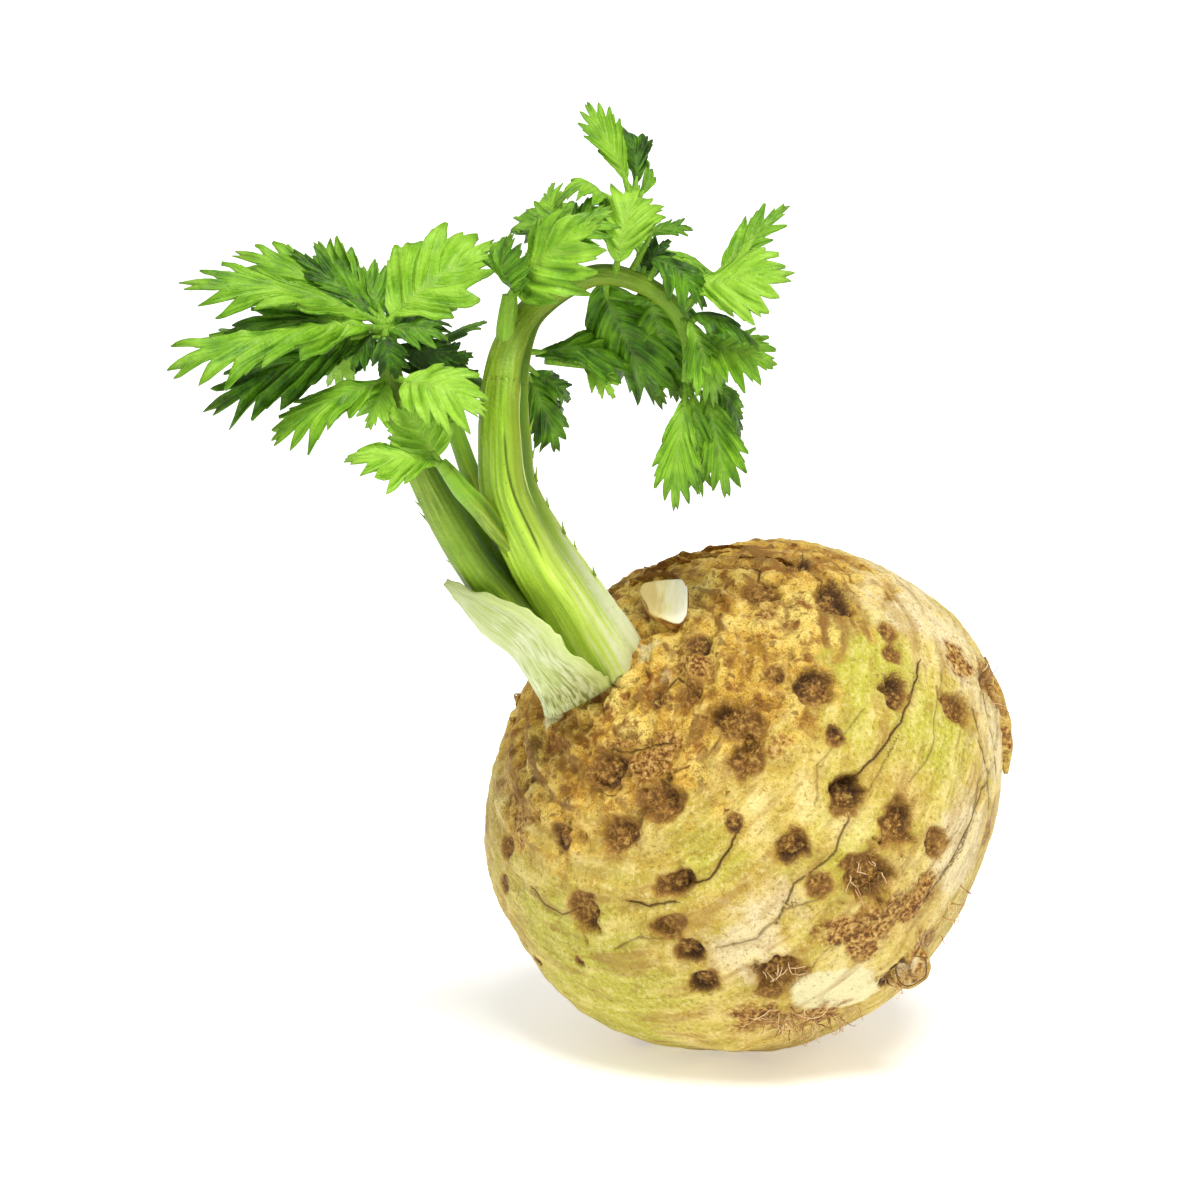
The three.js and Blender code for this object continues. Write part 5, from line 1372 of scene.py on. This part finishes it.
# %% Upper stalks and leaflets
LEAF = glossy_leaf_blade()
STALKLET = np.linspace(1.0, 0.5, 8)  # radii of the little stalk of a leaflet
PLAIN_STALKLET = dict(vein=0.6, under=0.0, tone=0.6, out=0.0, along=0.0, ridge=0.3)
for name, path, twigs, leaflets, first in (  # first is the number of the spray's first leaflet, for its draws
    ("arched", ARCHED, [ARCHED_FORK, ARCHED_CREST], ARCHED_LEAFLETS, 0),
    ("left", LEFT, [], LEFT_LEAFLETS, 28),
    ("inner", INNER, [], INNER_LEAFLETS, 49),
    ("young", YOUNG, [], YOUNG_LEAFLETS, 52),
):
    stems, blades = Parts(), Parts()
    for limb, start, green_from in [(path, path["split"], 0)] + [(twig, 0, 0.6) for twig in twigs]:
        points, faces, marks = ribbed_limb(limb, start, 1, 90, 72, green_from)
        stems.add(points, faces, **marks)
    for number, leaf in enumerate(leaflets, first):
        points, faces, marks, joint = blade(leaf, number)
        blades.add(points, faces, **marks)
        root = np.array(leaf[2], float)
        line = root + (joint - root) * np.linspace(0, 1, len(STALKLET))[:, None]
        points, faces = loft(thin_tube(line, STALKLET))
        blades.add(points, faces, **PLAIN_STALKLET, vein_place=points * (3, 3, 0.5))
    stems.make(f"{name}_rachis", STALK, "stalk", [f"{name}_spray"])
    blades.make(f"{name}_leaflets", LEAF, "leaf", [f"{name}_spray"])

# %% [markdown]
# A broad pale leaf base clasps the foot of the stalks. It was cut slantwise and has dried to parchment, so it ripples
# and its edges have frayed. It is a curved plate: each row below gives its lower edge, its upper edge and how far it
# bulges outwards between them.

# %% The dry leaf base
SHEATH = [
    [(-41.5, -14, 81), (-26.5, -26, 89), 7], [(-42, -20, 85), (-28, -34, 93), 7],
    [(-43.5, -27, 89.5), (-31.5, -44, 97.5), 6], [(-46, -31, 94.5), (-36, -50, 102), 5],
    [(-49.5, -33, 98.5), (-39.5, -52, 107), 4], [(-53.5, -34, 101.5), (-44.5, -52, 111), 3.5],
    [(-57, -35, 105.5), (-51, -48, 113), 2.5], [(-60, -37, 110), (-57.5, -44, 114.5), 1.2],
    [(-63, -39, 114.5), (-62.5, -41, 115.5), 0.3],
]
SHEATH_THICKNESS = 2.4
SHEATH_OUT = np.array((-0.6, -0.75, -0.3))
SHEATH_OUT = SHEATH_OUT / np.linalg.norm(SHEATH_OUT)
SHEATH_GRID = (110, 56)  # points along it and across
RIPPLE_SPREAD, FRAY_SPREAD = (12, 60), (90, 3)  # the plate's length and width as each noise reads them, in mm
RIPPLE, FRAY = 0.35, 1.2 * np.array((0.2, -0.5, 0.8))  # height in mm, and the way and distance an edge strays
EDGE_WIDTH = 0.06  # of the frayed part, as a share of the width


def clasping_sheath():
    """Points, faces and marks of the plate."""
    rows, columns = SHEATH_GRID
    low_edge, high_edge, bulges = zip(*SHEATH)
    lower, upper = (
        np.array([along_curve(edge, t)[0] for t in np.linspace(0, 1, rows)]) for edge in (low_edge, high_edge)
    )
    bulge = np.interp(np.linspace(0, 1, rows), np.linspace(0, 1, len(SHEATH)), bulges)
    v = np.linspace(0, 1, columns)
    t = np.linspace(0, 1, rows)[:, None]
    middle = lower[:, None] + (upper - lower)[:, None] * v[:, None]
    ripple, frayed = (
        wobble(np.stack(np.broadcast_arrays(t * down, v * over, 0 * v + 3), -1).reshape(-1, 3), 4.5)
        for down, over in (RIPPLE_SPREAD, FRAY_SPREAD)
    )
    edge = np.exp(-((v - 1) / EDGE_WIDTH) ** 2) + np.exp(-(v / EDGE_WIDTH) ** 2)
    middle = middle + (frayed.reshape(rows, columns) * edge)[..., None] * FRAY
    arc = np.sin(math.pi * v)
    thick = SHEATH_THICKNESS * (1 - 0.6 * t) * (0.25 + 0.75 * arc)
    out = bulge[:, None] * arc + RIPPLE * ripple.reshape(rows, columns)
    front = middle + (out + thick / 2)[..., None] * SHEATH_OUT
    back = middle + (out - thick / 2)[..., None] * SHEATH_OUT
    points, faces = shell(front, back)
    twice = lambda values: np.tile(np.broadcast_to(values, (rows, columns)).ravel(), 2)
    streak_place = np.stack([twice(t * 8), twice(v * 30), twice(0 * v)], -1)
    return points, faces, dict(along=twice(t), across=twice(v), streak_place=streak_place)

# %% [markdown]
# The parchment is whitish and streaked lengthwise by its strings. Dirt has stayed between them at the foot, some green
# is left toward the tip, and the rim there has dried dark.

# %% Material: dried leaf base
def dried_leaf_base():
    """Parchment-dry tissue is whitish and half matt, with its strings showing as fine streaks."""
    material, tree = blank_material("dried_leaf_base")
    place = add(tree, "TexCoord", out="Object")
    streak_place = add(tree, "Attribute", attribute_name="streak_place", out="Vector")
    along = add(tree, "Attribute", attribute_name="along", out="Fac")
    across = add(tree, "Attribute", attribute_name="across", out="Fac")
    cloud = add(tree, "TexNoise", {"Vector": place, "Scale": per_mm(8), "Detail": 2.0})
    fine = add(tree, "TexNoise", {"Vector": place, "Scale": per_mm(0.7), "Detail": 3.0})
    streaks = add(tree, "TexNoise", {"Vector": streak_place, "Scale": 1.1, "Detail": 3.0})
    pales = [(0.34, "#9aa458"), (0.46, "#b8c284"), (0.56, "#c8ce9e"), (0.7, "#dadcbc")]
    body = add(tree, "ValToRGB", [streaks], pales)
    shares = {}
    for name, source, low, high, top in [
        ("foot", along, 0.42, 0.12, 1.0),
        ("dark streak", streaks, 0.5, 0.38, 0.85),
        ("green cloud", cloud, 0.45, 0.62, 0.55),
        ("tip", along, 0.5, 1.0, 0.6),
        ("upper edge", across, 0.86, 1.0, 1.0),
        ("lower edge", across, 0.2, 0.0, 0.6),
    ]:
        sockets = {"Value": source, "From Min": low, "From Max": high, "To Max": top}
        shares[name] = add(tree, "MapRange", sockets)
    shares["rim"] = add(tree, "Math", [shares["tip"], shares["upper edge"]], operation="MULTIPLY")
    shares["foot streak"] = add(tree, "Math", [shares["foot"], shares["dark streak"]], operation="MULTIPLY")
    for name, over in [
        ("green cloud", "#a8ba60"),
        ("tip", "#a9b876"),
        ("foot streak", "#6f7036"),
        ("upper edge", "#c6d484"),
        ("lower edge", "#c4cf74"),
        ("rim", "#59602a"),
    ]:
        body = add(tree, "Mix", {0: shares[name], 6: body, 7: over}, out=2, data_type="RGBA")
    height = add(tree, "Math", [streaks, 2.5, fine], operation="MULTIPLY_ADD")
    normal = add(tree, "Bump", {"Height": height, "Strength": 0.5, "Distance": 0.4 * MM})
    sockets = {"Base Color": body, "Roughness": 0.5, "IOR": 1.45, "Normal": normal}
    shader = add(tree, "BsdfPrincipled", sockets)
    add(tree, "OutputMaterial", {"Surface": shader})
    return material


DRIED = dried_leaf_base()
points, faces, marks = clasping_sheath()
make_piece("clasping_leaf_base", points, faces, DRIED, ["pale_sheath"], marks)

# %% [markdown]
# One leaf stalk was cut off short, with a few strokes of a knife. Here it is a short ribbed limb with a closed end,
# and each stroke is a plane: what stands past it is pushed back to it, which leaves flat facets with blunt edges.

# %% The cut stump
CUT_RINGS = ((0.97, 0.5), (0.9, 0.6), (0.75, 0.2), (0.5, -0.4), (0.25, -0.6))  # share of the width, and lift in mm
TORN_SIDE = np.array((-0.72, -0.2, -0.66))  # towards the side where the scar tapers off
CUTS = [  # the blade's strokes, each a plane: the way it faces, and a point on it
    ((1, -0.1, 0.05), (-9.7, -20, 106)),
    ((-0.1, 0.2, 1), (-15, -19.5, 111.9)),
    ((-0.6, -0.2, -0.8), (-17.4, -21, 102.2)),
]
CUT_SHARPNESS = 0.85  # 1 would push all that stands past a stroke into its plane
TORN_AWAY, UNEVEN = 0.4, 0.06  # how much the torn side is narrower, and how uneven the rind is
STUMP_GRID = (40, 72)  # rings, and points in each


def stump():
    """Points, faces and marks of the stump."""
    points, _, _ = ribbed_limb(STUMP, 0, 1, *STUMP_GRID)
    rings = points[:-2].reshape(*STUMP_GRID, 3)
    middle = rings.mean(1, keepdims=True)
    out = rings - middle
    lean = out @ TORN_SIDE / np.linalg.norm(out, axis=2)
    dents = wobble(rings.reshape(-1, 3), 3).reshape(STUMP_GRID)
    rings = middle + out * (1 - TORN_AWAY * step(0.1, 1, lean) + UNEVEN * dents)[..., None]
    middle = rings[-1].mean(0)
    ahead = station(STUMP, 1)[1]
    cut = np.array([middle + (rings[-1] - middle) * share + ahead * lift for share, lift in CUT_RINGS])
    cut += 0.5 * wobble(cut.reshape(-1, 3), 4, 3.0).reshape(*cut.shape[:2], 1) * ahead
    body = np.concatenate([rings, cut])
    for facing, spot_on in CUTS:
        facing = np.array(facing) / np.linalg.norm(facing)
        over = np.maximum(0, (body - spot_on) @ facing)
        body -= CUT_SHARPNESS * over[..., None] * facing
    points, faces = loft(body)
    on_cut = np.repeat((0.0, 1.0), (len(rings), len(cut)))[:, None] + np.zeros(body.shape[1])
    right = (points - middle)[:, 0] / 6 + 0.5
    return points, faces, dict(cut=ring_marks(on_cut), right=right, streak_place=points * (0.9, 0.25, 0.25))

# %% [markdown]
# The cut face is pale and streaked by the strings that were cut through, yellower on the left and whiter on the right.
# The rind below it is brown cork. One mark on the points says which is which.

# %% Material: cut dry tissue
def cut_dry_tissue():
    """Knife-cut and dried, it is nearly white and matt, with a faint grain, and its rind is brown cork."""
    material, tree = blank_material("cut_dry_tissue")
    place = add(tree, "TexCoord", out="Object")
    marks = {
        name: add(tree, "Attribute", attribute_name=name, out="Vector" if name == "streak_place" else "Fac")
        for name in ("cut", "right", "streak_place")
    }
    blotch = add(tree, "TexNoise", {"Vector": place, "Scale": per_mm(2.5), "Detail": 4.0})
    streak = add(tree, "TexNoise", {"Vector": marks["streak_place"], "Scale": 1.0, "Detail": 3.0})
    rind = add(tree, "ValToRGB", [blotch], [(0.35, "#6e451a"), (0.5, "#a8762e"), (0.65, "#c9a25a")])
    faint = add(tree, "Math", [streak, 0.5], operation="MULTIPLY")
    paleness = add(tree, "Math", [marks["right"], 0.5, faint], operation="MULTIPLY_ADD")
    pales = [(0.3, "#d6be7a"), (0.42, "#e6d696"), (0.54, "#f0e6b4"), (0.72, "#f6f0d6")]
    face = add(tree, "ValToRGB", [paleness], pales)
    edge = add(tree, "Math", [blotch, 0.8, marks["cut"]], operation="MULTIPLY_ADD")
    share = add(tree, "MapRange", {"Value": edge, "From Min": 0.62, "From Max": 1.05})
    body = add(tree, "Mix", {0: share, 6: rind, 7: face}, out=2, data_type="RGBA")
    height = add(tree, "Math", [streak, 1.5, blotch], operation="MULTIPLY_ADD")
    normal = add(tree, "Bump", {"Height": height, "Strength": 0.7, "Distance": 0.5 * MM})
    sockets = {"Base Color": body, "Roughness": 0.65, "IOR": 1.45, "Normal": normal}
    shader = add(tree, "BsdfPrincipled", sockets)
    add(tree, "OutputMaterial", {"Surface": shader})
    return material


points, faces, marks = stump()
make_piece("cut_stalk_stump", points, faces, cut_dry_tissue(), ["cut_leaf_base"], marks)

# %% [markdown]
# Below and on the right, side roots were trimmed off. Each leaves a short tapered stub with a flat cut end, and one
# thick knob shows low on the right. They are lofted like the stalks and carry the cork skin, so they take its material.

# %% Trimmed root ends
SIDE_ROOT = [  # polar angle, azimuth, lift off the skin, radius
    (99, -40, -3, 3.4), (103, -46, -1.8, 3.2), (107, -52, -0.4, 2.8), (110, -57, 0.6, 1.9), (112.5, -62, 1.0, 0.5),
]
KNOB = [(37, -31, 29.5), (38.8, -36, 28.4), (39.8, -39.3, 27.8)]  # a thick root's end, from inside the root out
KNOB_RADII = [6.4, 5.6, 4.4]
STUB_REACH = 0.88  # the cut face bulges, so the stub is drawn this much shorter
STUB_TAPER = (1.5, 1.05, 0.8)  # radii inside the root, at the skin and at the cut, as shares of the stub's own
STUB_SINK = -4  # mm, how deep inside the root a stub starts
STUB_RINGS = STUB_SIDES = 28
STUB_ROUGHNESS = 0.14  # as a share of the radius
CUT_FACE = (0.15, 0.45, 0.8)  # rings that close the cut, each so much nearer its middle
CORK_SQUEEZE = (0.3, 0.3, 1.0)  # where small pieces read the skin's streaks, as they have no rings of their own


def on_skin(polar, azimuth, lift=0.0):
    """The place on the root's skin at two angles, or that much above it."""
    d = direction(polar, azimuth)
    return BULB_CENTRE + d * (broad_shape(d[None])[0] + lift)


def root_body(line, radii, parts, seed, cork=0.9, tip_cork=0.9):
    """A rough tapered root through a few points, closed by a cut face."""
    t = np.linspace(0, 1, STUB_RINGS)
    path = np.array([along_curve(line, s)[0] for s in t])
    size = np.interp(t, np.linspace(0, 1, len(radii)), radii)
    rings = thin_tube(path, size, STUB_SIDES)
    rough = wobble(rings.reshape(-1, 3), 2.5, seed).reshape(rings.shape[:2])
    rings = path[:, None] + (rings - path[:, None]) * (1 + STUB_ROUGHNESS * rough)[..., None]
    cut = [rings[-1] * (1 - s) + path[-1] * s for s in CUT_FACE]
    points, faces = loft(np.concatenate([rings, cut]))
    on_cut = np.append(np.zeros(STUB_RINGS), (0.5, 1, 1))[:, None] + np.zeros(STUB_SIDES)
    ahead = np.append(t, (1, 1, 1))[:, None] + np.zeros(STUB_SIDES)
    parts.add(
        points, faces,
        eye=3.0 - 2.4 * ring_marks(np.exp(-((on_cut - 0.5) / 0.25) ** 2)),  # a dark rim round the cut
        bark=cork + (tip_cork - cork) * ring_marks(ahead),
        pale=ring_marks(on_cut),
        fibrous=0.5, ring_place=points * CORK_SQUEEZE, crease_away=FAR, crease_side=FAR,
    )


ends = Parts()
root_body(KNOB, KNOB_RADII, ends, 40, 0.1, 0.0)  # it stands on the swelling of the first stub, in its place
for i, (p, a, r, length) in enumerate(ROOT_STUBS[1:], 1):
    length *= STUB_REACH
    line = [on_skin(p, a, STUB_SINK), on_skin(p + 2, a + 1, length * 0.4), on_skin(p + 5, a + 3, length)]
    root_body(line, [r * share for share in STUB_TAPER], ends, 40 + i, 0.6, 0.4)
root_body([on_skin(p, a, lift) for p, a, lift, _ in SIDE_ROOT], [r for *_, r in SIDE_ROOT], ends, 60, 1.0, 0.0)
for points in ends.points:
    points[:, 2] = np.maximum(points[:, 2], 0)  # none reaches below the table
ends.make("trimmed_root_ends", SKIN, "root_skin", ["bulb"])

# %% [markdown]
# Where old leaf bases came off, ragged curved ridges of dry bark stand on the crown, with small flakes between them.
# They are thin plates that follow the skin, so they cast real shadows and break up the outline, as paint couldn't.

# %% Dry bark on the crown
SCALES = [(47, 80), (51, 92), (44, 104), (50, 66), (47, 30), (45, 15)]  # polar angle and azimuth
SMALL_SCALES = 16
SCAR_RIDGES = [  # height in mm, then polar angle and azimuth of each point
    [2.6, (44, 33), (43.5, 22), (46, 12), (52, 3)], [1.8, (38, 35), (37, 22), (35, 9), (31, -4)],
    [1.6, (50, 22), (53, 10), (57, 0)], [1.8, (42, 50), (41, 42), (42, 36)], [1.3, (48, -4), (52, -12), (55, -18)],
    [1.5, (25, -170), (28, -160), (29, -150)], [1.2, (30, -128), (32, -116), (31, -105)],
]
FLAKE, RIDGE = 0.44, 0.6  # thickness
DRY_BARK = dict(eye=3.0, bark=1.0, crease_away=FAR, crease_side=FAR)


def papery_scale(polar, azimuth, size, seed, parts):
    """A ragged curved flake that stands on the skin."""
    rows, columns = 9, 9
    up, out = np.linspace(0, 1, rows)[:, None], np.linspace(-1, 1, columns)
    middle = direction(polar, azimuth)
    foot = on_skin(polar, azimuth, -1)
    ahead = CROWN - middle * (CROWN @ middle)
    ahead = ahead / np.linalg.norm(ahead) * 0.9 + middle * (0.3 + 0.4 * draw(seed, 41))
    side = np.cross(ahead, middle)
    side /= np.linalg.norm(side)
    width = size * 0.7 * (1 - up * (0.5 + 0.5 * abs(out) ** 0.5))
    flake = foot + (up * size)[..., None] * ahead + (out * width)[..., None] * side
    flake = flake + (0.25 * size * (out**2) * up)[..., None] * middle
    tear = wobble(flake.reshape(-1, 3), 1.2, seed).reshape(rows, columns)
    flake = flake + (tear * up * 0.5)[..., None] * ahead + (tear * 0.3)[..., None] * middle
    points, faces = shell(flake + FLAKE / 2 * middle, flake - FLAKE / 2 * middle)
    parts.add(points, faces, **DRY_BARK, fibrous=0.5, raised=0.0, ring_place=points * CORK_SQUEEZE)


def scar_ridge(spots, height, seed, parts):
    """A ragged curved ridge of dry bark through a few polar angles and azimuths, where a leaf base came off."""
    rows, columns = 7, 48
    up, t = np.linspace(0, 1, rows)[:, None, None], np.linspace(0, 1, columns)
    turns = [np.interp(t, np.linspace(0, 1, len(spots)), values) for values in zip(*spots)]
    foot = np.array([on_skin(p, a, -0.8) for p, a in zip(*turns)])
    out = np.array([direction(p, a) for p, a in zip(*turns)])
    tall = height * np.sin(math.pi * t) ** 0.4 * (0.85 + 0.5 * wobble(foot, 2.2, seed))
    ridge = foot + up * tall[:, None] * (0.8 * out + 0.5 * CROWN)
    ridge = ridge + 0.3 * wobble(ridge.reshape(-1, 3), 1.5, seed + 0.5).reshape(rows, columns, 1) * out
    points, faces = shell(ridge + RIDGE / 2 * CROWN, ridge - RIDGE / 2 * CROWN)
    parts.add(points, faces, **DRY_BARK, fibrous=0.25, raised=-0.6, ring_place=points * CORK_SQUEEZE)


scales = Parts()
for i, (height, *spots) in enumerate(SCAR_RIDGES):
    scar_ridge(spots, height, 30 + i, scales)
for i, (p, a) in enumerate(SCALES):
    papery_scale(p, a, 3.4, i, scales)
for i in range(SMALL_SCALES):
    p, a = 22 + 24 * draw(i, 42), -175 + 350 * draw(i, 43)
    papery_scale(p, a, 1.4 + 1.4 * draw(i, 44), 70 + i, scales)
scales.make("crown_scales", SKIN, "root_skin", ["bulb"])

# %% [markdown]
# Fine roots hang on here and there, mostly low on the right and out of the larger eyes. Hair curves would not survive
# an export, so each is a thin tapered tube with five sides that curls at random but stays close to the skin. The
# draws come from a formula with a seed, so every run grows the same roots.

# %% Helper: one fine root
ROOTLET_PLACES = [  # polar angle, azimuth, spread in degrees, how many, longest in mm
    (90, -143, 4, 22, 9), (97, -141, 5, 22, 9), (105, -136, 6, 20, 8), (77, -107, 4, 14, 6), (80, -135, 4, 12, 6),
    (103, -118, 4, 14, 7), (97, -50, 5, 10, 6), (110, -100, 8, 16, 7), (150, 60, 25, 40, 9), (120, 130, 20, 24, 8),
    (125, 10, 20, 24, 8),
]
WISP_STEPS, WISP_RADII, WISP_SIDES = 9, (0.15, 0.07), 5
WISP_LEASH = 3  # mm, how far from the skin a fine root may be before it turns back


def spot(point):
    """Polar angle and azimuth of a point."""
    d = (point - BULB_CENTRE) / np.linalg.norm(point - BULB_CENTRE)
    polar, azimuth = globe_angles(d[None])
    return polar[0], azimuth[0]


def wisp(polar, azimuth, length, seed, parts):
    """One fine root that starts just inside the skin."""
    start = on_skin(polar, azimuth, -0.5)
    out = direction(polar, azimuth)
    heading = np.array([draw(seed, k) - 0.5 for k in (51, 52, 53)]) + 0.35 * out + (0, 0, -0.2)
    line = [start]
    for k in range(WISP_STEPS):
        heading = heading + 0.5 * np.array([draw(seed + k, j) - 0.5 for j in (54, 55, 56)])
        heading /= np.linalg.norm(heading)
        point = line[-1] + heading * length / WISP_STEPS
        gap = np.linalg.norm(point - BULB_CENTRE) - np.linalg.norm(on_skin(*map(float, spot(point))) - BULB_CENTRE)
        if gap > WISP_LEASH:
            heading = heading - 0.8 * out
        point[2] = max(point[2], 0.3)  # it lies on the table rather than in it
        line.append(point)
    points, faces = loft(thin_tube(line, np.linspace(*WISP_RADII, len(line)), WISP_SIDES))
    parts.add(points, faces, tone=draw(seed, 57))


print("fine roots:", sum(count for *_, count, _ in ROOTLET_PLACES))

# %% [markdown]
# Each fine root has a tone of its own between brown and straw, and small patches vary it.

# %% Rootlets
def dry_rootlet():
    """Dried root fibre is matt, as nothing in it is left to shine, and from brown to straw."""
    material, tree = blank_material("dry_rootlet")
    tone = add(tree, "Attribute", attribute_name="tone", out="Fac")
    place = add(tree, "TexCoord", out="Object")
    patchy = add(tree, "TexNoise", {"Vector": place, "Scale": per_mm(1.5), "Detail": 2.0})
    tone = add(tree, "Math", [patchy, 0.5, tone], operation="MULTIPLY_ADD")
    tint = add(tree, "ValToRGB", [tone], [(0.25, "#7a4e28"), (0.7, "#b08450"), (1.0, "#d8ba8a")])
    shader = add(tree, "BsdfPrincipled", {"Base Color": tint, "Roughness": 0.7, "IOR": 1.45})
    add(tree, "OutputMaterial", {"Surface": shader})
    return material


wisps = Parts()
seed = 900
for p, a, spread, count, longest in ROOTLET_PLACES:
    for k in range(count):
        seed += 11
        turn, away = 2 * math.pi * draw(seed, 58), spread * draw(seed, 59) ** 0.5
        place = (p + away * math.cos(turn), a + away * math.sin(turn) / max(0.3, math.sin(math.radians(p))))
        wisp(*place, longest * (0.35 + 0.65 * draw(seed, 60)), seed, wisps)
wisps.make("rootlets", dry_rootlet(), "root_skin", ["bulb"])

# %% [markdown]
# The ribs of a stalk are strings of tough fibre, and here and there the end of one has come loose at the edge. Each is
# a thin tapered tube that starts inside the stalk and bends away from it, in the same material as the stalk.

# %% Frayed strings
FRAYED = [  # stalk, place along it, angle round it in degrees, length in mm
    (LEFT, 0.16, -158, 3.0), (LEFT, 0.2, -150, 2.4), (LEFT, 0.27, -155, 3.6), (LEFT, 0.33, -160, 2.6),
    (LEFT, 0.42, -152, 4.2), (LEFT, 0.45, -158, 3.0), (LEFT, 0.52, -154, 2.6), (LEFT, 0.6, -160, 2.4),
    (ARCHED, 0.16, 30, 3.0), (ARCHED, 0.19, 38, 2.4), (ARCHED, 0.215, 28, 3.4), (ARCHED, 0.25, 35, 2.6),
    (ARCHED, 0.29, 32, 3.6), (ARCHED, 0.33, 38, 2.4), (ARCHED, 0.37, 30, 2.6),
]
STRING_RADII = np.linspace(0.4, 0.06, 7)
STRING_SINK, STRING_BEND = 0.35, 0.9  # mm inside the stalk at its start, and how far it bends away

strings = Parts()
for i, (path, t, degrees, length) in enumerate(FRAYED):
    middle, ahead, groove, flank, wide, deep = station(path, t)
    a = math.radians(degrees)
    outward = math.cos(a) * groove + math.sin(a) * flank
    start = middle + (math.cos(a) * deep * groove + math.sin(a) * wide * flank) / 2
    line = [
        start + s * length * ahead + (STRING_BEND * s**1.6 - STRING_SINK) * outward
        for s in np.linspace(0, 1, len(STRING_RADII))
    ]
    points, faces = loft(thin_tube(line, STRING_RADII, 6))
    strings.add(points, faces, along=t + 0.3, rib=0.6, inside=0.3 * draw(i, 81), hollow=0.0)
strings.make("frayed_strings", STALK, "stalk", ["arched_stalk", "left_stalk"])
print("frayed strings:", len(FRAYED))

# %% Sizes and finish
full_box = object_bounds()
boxes = {
    "cad": [list(map(float, corner)) for corner in cad_box],
    "visual": [list(map(float, corner)) for corner in full_box],
}
for name, corners in boxes.items():
    print(name, [[round(c, 4) for c in corner] for corner in corners])
